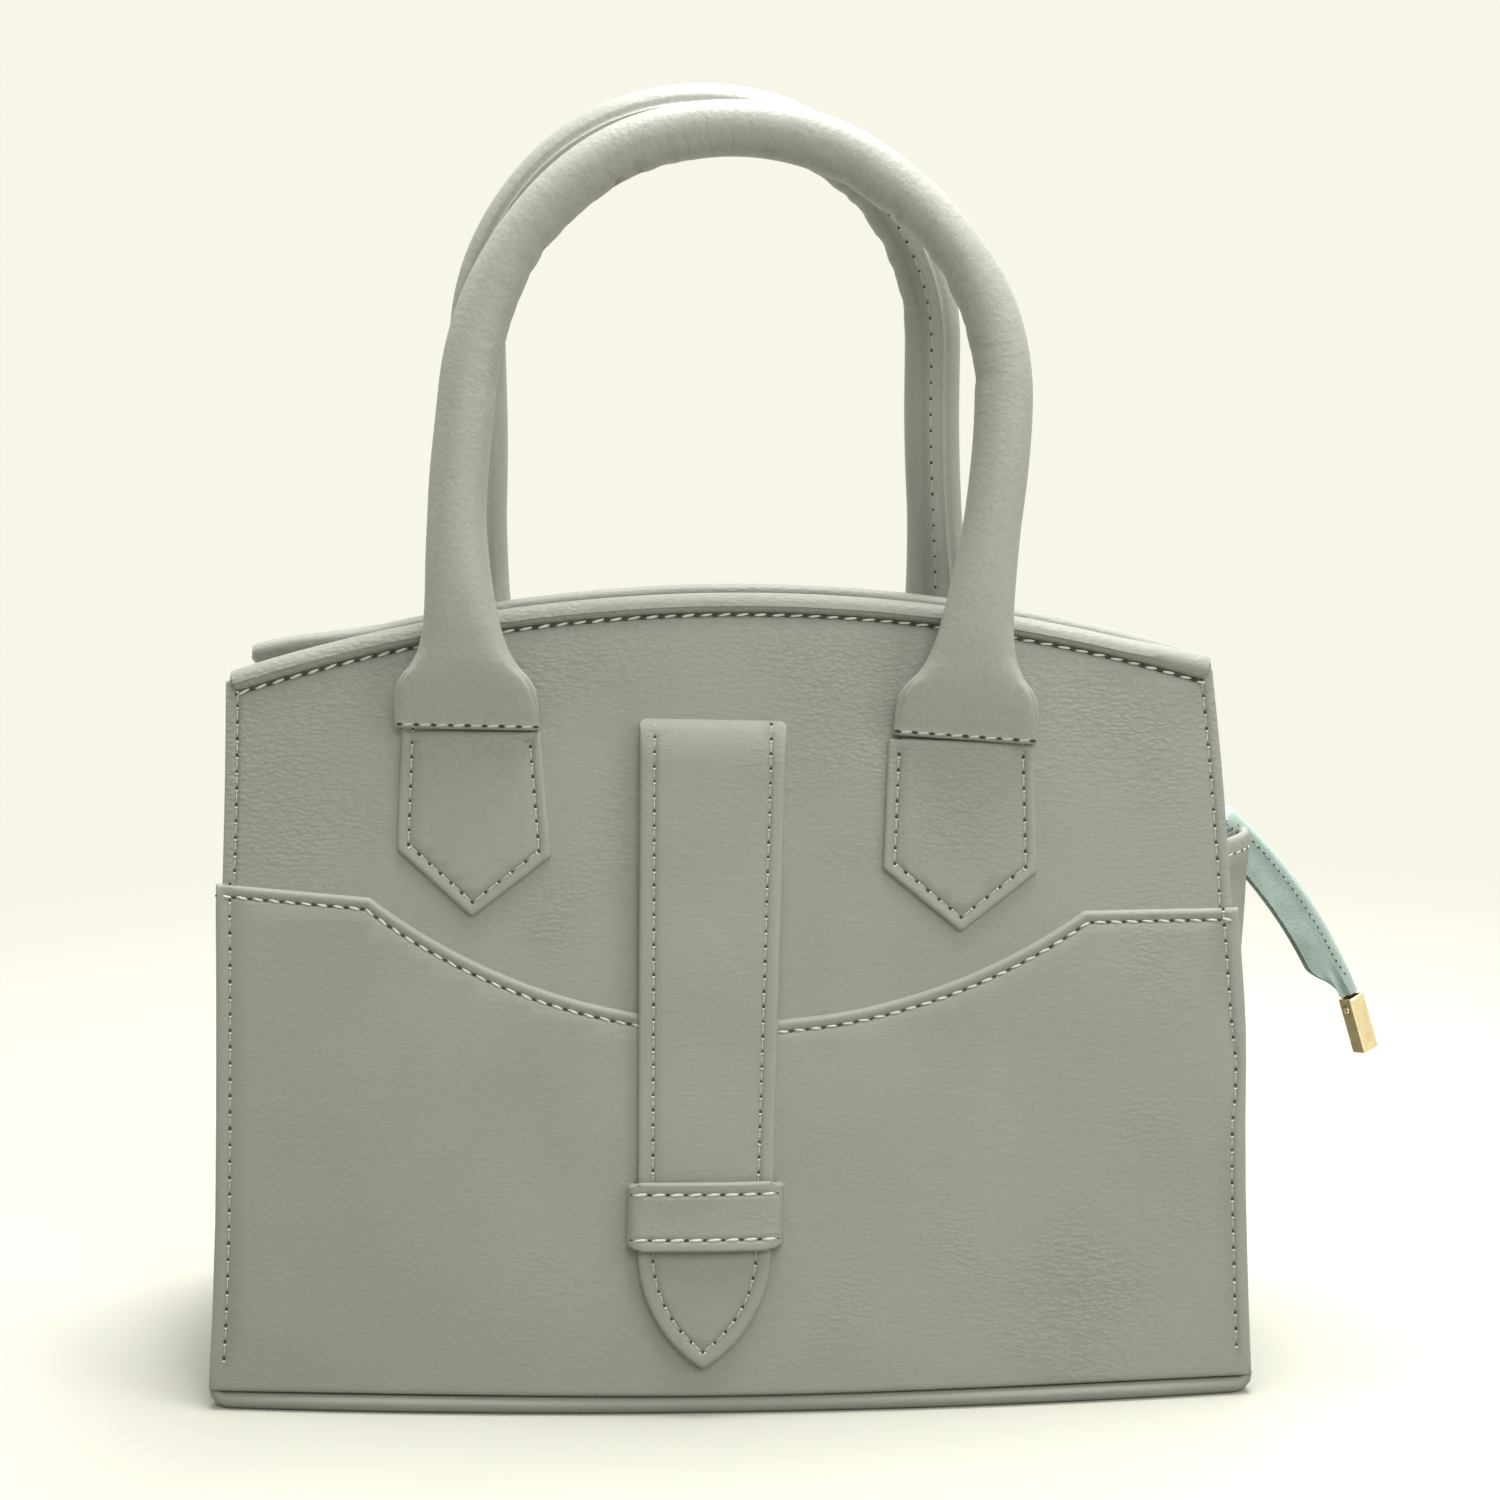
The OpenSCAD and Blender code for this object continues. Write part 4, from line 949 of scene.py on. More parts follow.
def wall_height():
    """The wall's relief: pressed seams, the deeper crease under the mouth's roll, and shallow crumples."""
    plain = pressed(0.0, -LEATHER, 0.7)

    def height(x, s, d, q):
        top, base = plain(x, s, d, q)
        under = crown(x if abs(x) < TOP_HALF else TOP_HALF) - s - 5.6
        top -= 0.55 * math.exp(-((under - 0.35) / 0.75) ** 2) if under > -3 else 0.0
        upper = smooth_step((s - 128) / 30) * smooth_step((115 - abs(x)) / 30)
        crumple = noise.noise(Vector((x / 8.5, s / 5.5, 2.0))) + 0.6 * noise.noise(Vector((x / 4.2, s / 3.1, 6.0)))
        return top + 0.16 * crumple * upper * smooth_step(under / 6), base
    return height


def edge_loops(edge, seam):
    """Depths at which a sheet gets extra rows of points, for its rounded edge and beside its seam."""
    beside = [seam + k for k in (-1.0, -0.5, -0.2, 0.2, 0.5, 1.0) if seam + k > edge + 0.1]
    return [edge * k for k in (0.08, 0.28, 0.6, 1.0)] + beside


class BAG_OT_walls(Operator):
    """Cuts and bends the two walls with their boards and linings."""
    bl_idname = "bag.walls"
    bl_label = "Walls"

    def execute(self, context):
        for label, place, side in (("front", FRONT, -1), ("rear", REAR, 1)):
            outline = wall_outline(0.0 if side < 0 else REAR_INSET, MOUTH_DROP)
            right_low, left_low = SIDE_SEAM_LOW[side]
            right = [(wall_edge(s, 1) - WALL_SIDE_SEAM, s) for s in np.linspace(right_low, SIDE_H - 4.6, 12)]
            left = [(wall_edge(s, -1) + WALL_SIDE_SEAM, s) for s in np.linspace(SIDE_H - 4.6, left_low, 12)]
            band = [(x, crown(x, WALL_TOP_SEAM)) for x in np.linspace(TOP_HALF - 0.7, 0.7 - TOP_HALF, 45)]
            panel = cut_sheet(outline, place, wall_height(), WALL_CELL,
                              edge_loops(0.7, WALL_SIDE_SEAM) + [3.5, 4.0, 4.5, 5.3], [right, band, left])
            finish_piece(label + "_wall_leather", panel, "grained_leather", label + "_panel")
            sew(label + "_mouth_seam", [band], place, -0.30, size("seam_pitch"), fill=0.70, width=1.3, slant=9.0,
                hole=1.15)
            sew(label + "_side_seams", [right[::-1], left], place, -0.30, SIDE_PITCH, sunk=True)
            board = cut_sheet(wall_outline(BOARD_INSET, BINDING_H, -LEATHER - BOARD), place,
                              pressed(-LEATHER - 0.02, -LEATHER - BOARD, 0.2), BOARD_CELL)
            finish_piece(label + "_wall_board", board, "fibre_board", label + "_board")
            lining = cut_sheet(wall_outline(LINING_INSET, LINING_DROP, -WALL), place,
                               pressed(-LEATHER - BOARD - 0.02, -WALL, 0.1), HIDDEN_CELL)
            finish_piece(label + "_wall_lining", lining, "twill_lining", label + "_lining")
        return {"FINISHED"}


class BAG_OT_overlay(Operator):
    """Cuts the lower overlay with its dipped edge and sews it on."""
    bl_idname = "bag.overlay"
    bl_label = "Overlay"

    def execute(self, context):
        foot, right, top, left = overlay_outline()
        top_row = inside([right[-1]] + top + [left[0]], OVERLAY_TOP_SEAM)
        for end, beside in ((0, 1), (-1, -2)):
            inward = Vector(top_row[beside]) - Vector(top_row[end])
            top_row[end] = tuple(Vector(top_row[end]) + inward.normalized() * 0.9)
        right_row = [(x + 1.1 * math.exp(-((s - 76) / 8) ** 2) - 0.3 * smooth_step((s - 84) / 10), s)
                     for x, s in inside(right, OVERLAY_SIDE_SEAM)]
        left_row = inside(left, OVERLAY_SIDE_SEAM)
        sheet = cut_sheet(foot + right + top + left, FRONT, pressed(OVERLAY, 0.0, 1.05, swell=0.14), WALL_CELL,
                          edge_loops(1.05, OVERLAY_TOP_SEAM), [right_row, top_row, left_row])
        finish_piece("overlay_leather", sheet, "grained_leather", "front_overlay")
        sew("overlay_top_row", [top_row], FRONT, OVERLAY - 0.22, OVERLAY_PITCH, fill=0.72, width=1.25, slant=-7.0)
        sew("overlay_side_rows", [right_row[::-1], left_row], FRONT, OVERLAY - 0.28, OVERLAY_PITCH, sunk=True)
        return {"FINISHED"}


class BAG_OT_base(Operator):
    """Makes the base panel with its board and lining."""
    bl_idname = "bag.base"
    bl_label = "Base"

    def execute(self, context):
        middle = FOOT_Y - LEATHER / 2 - FOOT_RADIUS

        def outline(inset, side_inset):
            half = HALF_W - side_inset
            front = [(half * t, -(middle + math.sqrt((FOOT_RADIUS - inset) ** 2 - (half * t) ** 2)))
                     for t in np.linspace(-1, 1, 31)]
            return front + [(-x, -y) for x, y in front]

        def tray(x, y, d, q):
            top = SEAT - (SEAT - LEATHER) * smooth_step((d - 2.7) / 0.4)
            return top - rounded_edge(d, 0.5), 0.15 + 0.5 * smooth_step(d / 26) + rounded_edge(d, 1.2)
        seam = outline(2.2 + 3.4, 3.4)
        leather = cut_sheet(outline(2.2, 0.0), flat_place(0.0), tray, HIDDEN_CELL,
                            (0.1, 0.35, 0.75, 1.2, 2.65, 2.9, 3.15))
        finish_piece("base_leather", leather, "grained_leather", "base_panel")
        sew("base_seam", [seam + seam[:1]], lambda x, y, h: Vector((x, y, 0.22 - h)), 0.0, size("seam_pitch"))
        dress_node("base_board", "fibre_board")
        lining = cut_sheet(outline(5.4, 3.2), flat_place(SEAT), pressed(LINING, 0.0, 0.1), HIDDEN_CELL)
        finish_piece("base_cloth", lining, "twill_lining", "base_lining")
        return {"FINISHED"}


def gusset_edge(z):
    return edge_x(wall_s(HALF_W, z, LEATHER)) - 1.0


def gusset_bulge(sign, z):
    return BULGE_FOOT + (BULGE_HEM[sign] - BULGE_FOOT) * (z - SEAT) / (HEM_Z - SEAT)


def gusset_point(sign, u, z, depth, setback=0.0, lift=0.0):
    """A place on a gusset. u runs from the front seam at -1 to the rear seam at 1."""
    share = (z - SEAT) / (HEM_Z - SEAT)
    edge = gusset_edge(z) - setback
    reach = wall_y(edge, z, depth)
    if abs(u) > 1:
        x = edge - (abs(u) - 1) * FLANGE
        return Vector((sign * x, math.copysign(wall_y(x, z, depth), u), z))
    soft = noise.noise(Vector((u * 1.7, z / 34, 5.0))) * 1.0 + noise.noise(Vector((u * 4, z / 60, 1.0))) * 0.35
    soft *= 1.0 if sign > 0 else 0.5
    x = edge + gusset_bulge(sign, z) * (1 - u * u) + soft * share * (1 - u * u) + lift
    return Vector((sign * x, u * reach, z))


class BAG_OT_gussets(Operator):
    """Lofts the two side gussets with a folded hem, and their linings."""
    bl_idname = "bag.gussets"
    bl_label = "Gussets"

    def execute(self, context):
        hem_fold, hem_r = 9.0, 1.35
        profile = [(SEAT, 0.0)] + [(SEAT + (HEM_Z - hem_fold - SEAT) * t, 0.0) for t in np.linspace(0.03, 1, 26)]
        profile += [(HEM_Z - hem_fold + 0.7, 0.35), (HEM_Z - 5.0, 0.5), (HEM_Z - 3.0, 0.5)]
        profile += [(HEM_Z - hem_r + hem_r * math.sin(a), 0.5 - hem_r + hem_r * math.cos(a))
                    for a in np.linspace(0.2, math.pi, 8)]
        profile += [(HEM_Z - 3.0, 0.5 - 2 * hem_r), (HEM_Z - hem_fold, -GUSSET_T - 0.5),
                    (HEM_Z - hem_fold - 0.8, -GUSSET_T)]
        profile += [(SEAT + (HEM_Z - hem_fold - 1 - SEAT) * t, -GUSSET_T) for t in np.linspace(0.97, 0, 16)]
        closed_profile = profile + profile[:1]

        def skin(sign):
            def place(u, v):
                i = round(v * (len(closed_profile) - 1))
                z, depth = closed_profile[i]
                t = (u * 2 - 1) * 1.42
                point = gusset_point(sign, t, z, LEATHER + 0.12)
                if abs(t) > 1:
                    return point + Vector((0, math.copysign(0.6, t) * min(depth, 0.0), 0))
                slant = 2 * t * gusset_bulge(sign, z) / 45
                return point + Vector((sign, slant, 0)).normalized() * depth
            return place
        for label, sign in (("left", -1), ("right", 1)):
            mesh = loft(64, len(closed_profile) - 1, skin(sign), (130.0, 270.0), closed=True)
            finish_piece(label + "_gusset_leather", mesh, "grained_leather", label + "_gusset")
            hem = [(t, HEM_Z - 4.0) for t in np.linspace(-0.93, 0.93, 40)]

            def hem_place(u, z, h, sign=sign):
                return gusset_point(sign, u, z, LEATHER + 0.12, lift=h)
            sew_scaled(label + "_hem_seam", hem, hem_place)

            def cloth(u, v, sign=sign):
                t = u * 2 - 1
                wide = [(SEAT + (HEM_Z - SEAT) * k, 0.0) for k in np.linspace(0, 1, 20)]
                wide += [(SEAT + (HEM_Z - SEAT) * k, -LINING) for k in np.linspace(1, 0, 20)]
                wide += wide[:1]
                z, depth = wide[round(v * (len(wide) - 1))]
                back = GUSSET_T + 0.35 + (1.4 if z > HEM_Z - 12 else 0.0)
                return gusset_point(sign, t, z, WALL + 0.1, setback=back, lift=depth)
            mesh = loft(30, 40, cloth, (100.0, 260.0), closed=True)
            finish_piece(label + "_side_cloth", mesh, "twill_lining", label + "_lining")
        return {"FINISHED"}


def sew_scaled(name, hem, place):
    """Sews along a gusset, whose cross coordinate is a share of its reach."""
    reach = 30.0

    def scaled(x, s, h):
        return place(x / reach, s, h)
    sew(name, [[(u * reach, z) for u, z in hem]], scaled, 0.5, size("seam_pitch"), slant=4.0)


class BAG_OT_bindings(Operator):
    """Rolls the mouth bindings and the piping round the foot."""
    bl_idname = "bag.bindings"
    bl_label = "Bindings and piping"

    def execute(self, context):
        section = [(-5.15, -0.5), (-5.2, 0.15), (-4.95, 0.8), (-4.35, 1.35), (-3.4, 1.75), (-2.3, 1.9), (-1.2, 1.75),
                   (-0.2, 1.3), (0.6, 0.55), (1.1, -0.5), (1.3, -1.7), (1.2, -2.9), (0.7, -4.0), (-0.2, -4.7),
                   (-1.4, -5.0), (-2.8, -5.1), (-4.2, -4.95), (-5.1, -4.6), (-5.4, -3.9), (-5.3, -2.0)]
        loop = section + section[:1]
        centre_s = CROWN_S - CROWN_R
        for label, place, side in (("front", FRONT, -1), ("rear", REAR, 1)):
            past_left, past_right = (2.1, 0.5) if side < 0 else (0.3, -0.8)
            left_end = math.asin((TOP_HALF + past_left) / CROWN_R)
            right_end = math.asin((TOP_HALF + past_right) / CROWN_R)

            def roll(u, v):
                r, n = loop[round(v * (len(loop) - 1))]
                a = u * (left_end + right_end) - left_end
                rest = min(a + left_end, right_end - a) * CROWN_R
                end = max(0.0, 2.4 - rest) / 2.4
                shrink = math.sqrt(max(0.0, 1 - min(1.0, end) ** 2))
                r = -2.2 + (r + 2.2) * shrink
                n = -1.8 + (n + 1.8) * shrink
                swell = (0.3 * noise.noise(Vector((a * 26, side * 2.0, 0.5)))
                         + 0.14 * noise.noise(Vector((a * 90, side, 4))))
                lean = smooth_step(-a / left_end * 1.25 - 0.25)
                rise = smooth_step((-a / left_end - 0.7) / 0.3)
                refill = smooth_step((a / right_end - 0.78) / 0.22)
                if side < 0:
                    lift = (0.5 * lean - 1.5 + 1.4 * refill) * (r > -3)
                else:
                    lift = 3.9 * rise - 1.3 if r > -3 else 1.9 * rise
                reach = CROWN_R + r + lift
                return place(reach * math.sin(a), centre_s + reach * math.cos(a), n + swell * (n > 0.5))
            mesh = loft(150, len(loop) - 1, roll, (252.0, 24.0), closed=True)
            finish_piece(label + "_mouth_roll", mesh, "grained_leather", label + "_top_binding")
            arc_length = FOOT_RADIUS * math.asin((HALF_W - 3.4) / FOOT_RADIUS)
            curl, tail = 2.7, 1.6
            total = arc_length + curl * math.pi / 2 + tail

            def path(t):
                d = abs(t * 2 - 1) * total
                sign = 1.0 if t > 0.5 else -1.0
                along_arc = min(d, arc_length)
                a = along_arc / FOOT_RADIUS
                x = FOOT_RADIUS * math.sin(a)
                y = FOOT_RADIUS * math.cos(a) - FOOT_RADIUS + FOOT_Y - LEATHER / 2
                z = PIPING_R
                rest = d - along_arc
                if rest > 0:
                    turn = min(rest / curl, math.pi / 2)
                    x += curl * math.sin(turn)
                    z += curl * (1 - math.cos(turn)) + max(0.0, rest - curl * math.pi / 2)
                    y -= 0.25 * rest
                return Vector((sign * x, side * y, z))

            def thick(t):
                d = (1 - abs(t * 2 - 1)) * total
                end = math.sqrt(max(0.0, 1 - max(0.0, 1 - d / 1.6) ** 2))
                return (PIPING_R - 0.45 * (1 - smooth_step(d / 8.0))) * end
            mesh = sweep(path, thick, 170, 20, Vector((0, 1, 0)))
            finish_piece(label + "_foot_piping", mesh, "grained_leather", label + "_piping")
        return {"FINISHED"}


class BAG_OT_strap(Operator):
    """Cuts the strap and bends the keeper over it."""
    bl_idname = "bag.strap"
    bl_label = "Strap and keeper"

    def execute(self, context):
        outline = strap_outline()
        inner = shrunk(outline, STRAP_SEAM)
        top = OVERLAY + STRAP

        def below_top(x, s):
            return STRAP_AT[1] - s - (x - STRAP_AT[0]) * math.tan(STRAP_SLANT)

        def rolled(from_top):
            """How far the strap bends back towards its rolled upper end."""
            return 0.37 * rounded_edge(max(0.0, from_top), 9.0)

        def settled(s, from_top):
            """How far the strap sinks to the wall above the overlay's edge."""
            return 0.35 * (OVERLAY - 0.9) * smooth_step((s - 96) / 40) * smooth_step((from_top - 12) / 26)
        seam = [p for p in open_run(inner) if below_top(*p) > STRAP_SEAM + 0.5]
        for end in (0, -1):
            x, s = seam[end]
            rise = below_top(x, s) - 0.9
            seam.insert(0 if end == 0 else len(seam), (x + rise * math.sin(STRAP_SLANT), s + rise))
        low = min(range(len(seam)), key=lambda i: seam[i][1])

        def height(x, s, d, q):
            from_top = below_top(x, s)
            base = 0.05 if from_top < 14 else OVERLAY + 0.03
            if s > 122:
                base = min(base, 0.05 + OVERLAY * smooth_step((136 - s) / 14) if from_top > 14 else 0.05)
            puff = 0.3 * math.exp(-((from_top - 9) / 5) ** 2) * smooth_step(d / 4)
            loose = smooth_step((from_top - 2) / 6) * smooth_step((34 - from_top) / 20) * smooth_step(d / 5)
            puff += 0.2 * loose * noise.noise(Vector((x / 9.0, s / 2.1, 7.0)))
            dent = size("groove_depth") * math.exp(-(q / 0.65) ** 2)
            fall = settled(s, from_top) + max(rolled(from_top), rounded_edge(d, 1.1))
            return top - fall - dent + puff, base
        sheet = cut_sheet(outline, FRONT, height, SMALL_CELL, edge_loops(1.1, STRAP_SEAM), [seam])
        finish_piece("strap_leather", sheet, "grained_leather", "strap")

        def on_strap(x, s, h):
            from_top = below_top(x, s)
            puff = 0.24 * math.exp(-((from_top - 9) / 5) ** 2)
            return FRONT(x, s, h - settled(s, from_top) + puff - rolled(from_top))
        sew("strap_seam", [seam[:low + 1], seam[low:][::-1]], on_strap, top - 0.3, STRAP_PITCH, sunk=True,
            hole=0.9)

        leg_top = top + 0.3
        half = STRAP_HALF + 0.35
        path = [(-half - 2.5, OVERLAY - 0.1), (-half - 2.55, OVERLAY + 1.2), (-half - 2.3, leg_top - 0.6),
                (-half - 1.5, leg_top + 0.75), (-half - 0.3, leg_top + 1.4), (-half + 1.6, leg_top + KEEPER_T)]
        path += [(t, leg_top + KEEPER_T + 0.55 * (1 - (t / 15) ** 2)) for t in np.linspace(-12, 12, 13)]
        path += [(-x, h) for x, h in reversed(path[:6])]
        inner = [(-half - 0.9, OVERLAY - 0.1), (-half - 0.95, OVERLAY + 1.2), (-half - 0.8, leg_top - 0.9),
                 (-half - 0.3, leg_top - 0.2), (-half + 0.6, leg_top + 0.05), (-half + 2, leg_top + 0.12)]
        inner += [(t, leg_top + 0.1 + 0.5 * (1 - (t / 15) ** 2)) for t in np.linspace(-12, 12, 13)]
        inner += [(-x, h) for x, h in reversed(inner[:6])]
        loop = path + list(reversed(inner)) + path[:1]

        def keep(u, v):
            i = round(v * (len(loop) - 1))
            x, h = loop[i]
            ends = 0.11 * smooth_step((abs(x) - half + 1.5) / 4.0)
            s = KEEPER_S + KEEPER_H * (0.5 + (u - 0.5) * (1 - ends))
            rim = min(u, 1 - u) * KEEPER_H
            if i < len(path):
                ease = rounded_edge(rim, 0.7)
                q = min(abs(rim - KEEPER_SEAM), 9.0)
                h -= ease * (abs(x) < half) + size("groove_depth") * math.exp(-(q / 0.6) ** 2) * (abs(x) < half)
                x -= math.copysign(ease * (abs(x) >= half), x)
            belly = 0.35 * (u - 0.5) ** 2 * 4 * (abs(x) < half)
            return FRONT(x + strap_middle(s), s, h + belly)
        mesh = loft(56, len(loop) - 1, keep, (KEEPER_H, 80.0), closed=True)
        finish_piece("keeper_leather", mesh, "grained_leather", "strap_keeper")

        def on_keeper(x, s, h):
            flat = [p for p in path if abs(p[0]) <= half + 2.3]
            rise = float(np.interp(x - strap_middle(s), [p[0] for p in flat], [p[1] for p in flat]))
            return FRONT(x, s, h + rise)
        middle = strap_middle(42)
        rows = [[(middle + t, s) for t in np.linspace(-half - 1.2, half + 1.2, 30)]
                for s in (KEEPER_S + KEEPER_SEAM, KEEPER_S + KEEPER_H - KEEPER_SEAM)]
        sew("keeper_seams", rows, on_keeper, -0.12, KEEPER_PITCH, fill=0.78, width=1.5, hole=0.85)
        return {"FINISHED"}


class BAG_OT_tabs(Operator):
    """Cuts and sews the four tabs under the handles' feet."""
    bl_idname = "bag.tabs"
    bl_label = "Tabs"

    def execute(self, context):
        for label, place, handle in (("front", FRONT, FRONT_HANDLE), ("rear", REAR, REAR_HANDLE)):
            for name, side in (("left", -1), ("right", 1)):
                corners = tab_outline(side, handle)
                seam = inside(corners, TAB_SEAM)
                rows = [seam[0:2], seam[1:3], seam[3:1:-1], seam[4:2:-1]]
                sheet = cut_sheet(eased(corners, 1.3), place, pressed(OVERLAY, 0.0, 0.9, swell=0.12), SMALL_CELL,
                                  edge_loops(0.9, TAB_SEAM), rows)
                finish_piece(f"{label}_{name}_tab_leather", sheet, "grained_leather", f"{label}_{name}_tab")
                sew(f"{label}_{name}_tab_seam", rows, place, OVERLAY - 0.28, size("tab_pitch"), sunk=True)
        return {"FINISHED"}


def table(values, t):
    """Smooth reading of a row of values that stand at the flare's heights."""
    for i in range(len(FLARE_HEIGHTS) - 1):
        if t <= FLARE_HEIGHTS[i + 1]:
            break
    x0, x1 = FLARE_HEIGHTS[i], FLARE_HEIGHTS[i + 1]

    def slope(k):
        if k <= 0 or k >= len(values) - 1:
            return 0.0
        left = (values[k] - values[k - 1]) / (FLARE_HEIGHTS[k] - FLARE_HEIGHTS[k - 1])
        right = (values[k + 1] - values[k]) / (FLARE_HEIGHTS[k + 1] - FLARE_HEIGHTS[k])
        return 0.0 if left * right <= 0 else 2 * left * right / (left + right)
    w = x1 - x0
    p = (t - x0) / w
    return ((1 + 2 * p) * (1 - p) ** 2 * values[i] + p * (1 - p) ** 2 * w * slope(i)
            + p * p * (3 - 2 * p) * values[i + 1] + p * p * (p - 1) * w * slope(i + 1))


class HandleShape:
    """Centre line and cross-sections of one rolled handle, in its hinge frame."""
    def __init__(self, spec, seed):
        self.spec = spec
        self.leg = spec["arch_v"] + FOOT_END
        self.half_arc = math.pi * spec["arch_r"]
        self.total = 2 * self.leg + self.half_arc
        dice = random.Random(seed)
        self.creases = []
        for _ in range(46):
            at = dice.choice((dice.gauss(0.17, 0.07), dice.gauss(0.80, 0.08), dice.uniform(0.02, 0.98)))
            self.creases.append((at * self.half_arc, dice.uniform(0.9, 3.0), dice.uniform(0.2, 0.9),
                                 dice.uniform(-2.2, 2.2), dice.uniform(-0.5, 0.5)))

    def bowed(self, side, v):
        """How far a leg stands outwards between its foot and the arch."""
        return side * self.spec["bow"][side] * math.exp(-((v - 52) / 32) ** 2)

    def section(self, d):
        """Centre, outward direction, half sizes and squareness at a distance along the handle."""
        spec = self.spec
        right = d > self.total / 2
        reach = self.total - d if right else d
        side = 1 if right else -1
        if reach >= self.leg:
            a = (reach - self.leg) / spec["arch_r"]
            out = Vector((side * math.cos(a), math.sin(a), 0))
            turn = math.degrees(a) if right else 180 - math.degrees(a)
            pushed = spec["skew"] * (0.8 * math.exp(-((turn - 118) / 22) ** 2)
                                     - 1.3 * math.exp(-((turn - 48) / 20) ** 2))
            pressed_in = 0.09 * (math.exp(-((turn - 43) / 22) ** 2) + math.exp(-((turn - 143) / 20) ** 2))
            pressed_in += 0.045 * math.exp(-((turn - 92) / 26) ** 2)
            centre = Vector((spec["arch_x"], spec["arch_v"], TUBE_W)) + out * (spec["arch_r"] + pushed)
            centre.x += self.bowed(side, centre.y)
            return centre, out, HANDLE_R * (1 - pressed_in), HANDLE_R, 2.0
        v = reach - FOOT_END
        foot_x = side * TAB_SPACING / 2 + spec["foot_shift"][side]
        top_x = spec["arch_x"] + side * spec["arch_r"]
        rise = spec["right_rise"] if right else spec["left_rise"]
        x = foot_x + (top_x - foot_x) * smooth_step(v / rise) + self.bowed(side, v)
        t = max(0.0, min(1.0, v / FLARE))
        half_x = HANDLE_R + (TAB_TOP_HALF - 0.1 - HANDLE_R) * table(FLARE_WIDTHS, t)
        half_y = FOOT_R + (HANDLE_R - FOOT_R) * table(FLARE_DEPTHS, t)
        pinch = 0.8 * (1 - smooth_step((v + 1.6) / 6.5))
        half_y -= pinch
        if v < -0.5:
            half_y *= math.sqrt(max(0.03, 1 - ((v + 0.5) / 0.85) ** 2))
            half_x -= 0.4 * ((v + 0.5) / 0.85) ** 2
        centre = Vector((x, v, TUBE_W * table(FLARE_OFFSETS, t) - pinch))
        return centre, Vector((side, 0, 0)), half_x, half_y, table(FLARE_CORNERS, t)

    def relief(self, d, angle):
        """Height of the wrinkles and of the closing seam at a place on the tube."""
        inner = max(0.0, -math.cos(angle))
        arc = d - self.leg
        depth = 0.0
        bend = smooth_step((arc + 14) / 20) * smooth_step((self.half_arc - arc + 14) / 20)
        if inner > 0.05:
            for at, width, strength, tilt, shift in self.creases:
                off = (arc - at - tilt * math.sin(angle + shift)) / width
                if abs(off) < 2.5:
                    depth += strength * math.exp(-off * off)
            depth = min(depth, 1.6) * inner ** 1.3 * bend
        away = (angle - 1.5 * math.pi + math.pi) % (2 * math.pi) - math.pi
        seam_on = smooth_step((d - 22) / 14) * smooth_step((self.total - d - 22) / 14)
        across = away * HANDLE_R
        ridge = 0.5 * smooth_step((2.9 - abs(across)) / 0.7) - 0.55 * math.exp(-((abs(across) - 3.3) / 0.55) ** 2)
        ridge -= 0.35 * math.exp(-((across - 1.0) / 0.45) ** 2)
        return -size("crease_depth") * depth + ridge * seam_on

    def flare_folds(self, d, angle):
        """Soft folds where the tube opens into its foot."""
        reach = min(d, self.total - d) - FOOT_END
        if reach > 30 or reach < 0:
            return 0.0
        front = math.sin(angle)
        if front < -0.2:
            return 0.0
        strength = math.exp(-((reach - 10) / 6.5) ** 2)
        groove = math.exp(-((abs(math.cos(angle)) - 0.90) / 0.07) ** 2)
        return -0.75 * strength * groove + 0.25 * math.exp(-((reach - 15) / 5) ** 2) * max(0.0, front)

    def place(self, d, angle):
        centre, out, half_x, half_y, corner = self.section(d)
        c, s = math.cos(angle), math.sin(angle)
        extra = self.relief(d, angle) + self.flare_folds(d, angle)
        x = (half_x + extra * 0.9) * math.copysign(abs(c) ** (2 / corner), c)
        y = (half_y + extra) * math.copysign(abs(s) ** (2 / corner), s)
        return self.tilted(centre + out * x + Vector((0, 0, 1)) * y)

    def tilted(self, point):
        """Slants the foot's lower edge as it is sewn."""
        side = 1 if point.x > self.spec["arch_x"] else -1
        tilt = self.spec["foot_tilt"][side] * (1 - smooth_step(point.y / 26))
        middle = side * TAB_SPACING / 2 + self.spec["foot_shift"][side]
        return point - Vector((0, tilt * (point.x - middle), 0))


def on_hinge(spec):
    return (Matrix.Translation(spec["at"]) @ Matrix.Rotation(math.pi / 2 - HANDLE_LEAN, 4, "X")
            @ Matrix.Rotation(-spec["slant"], 4, "Z"))


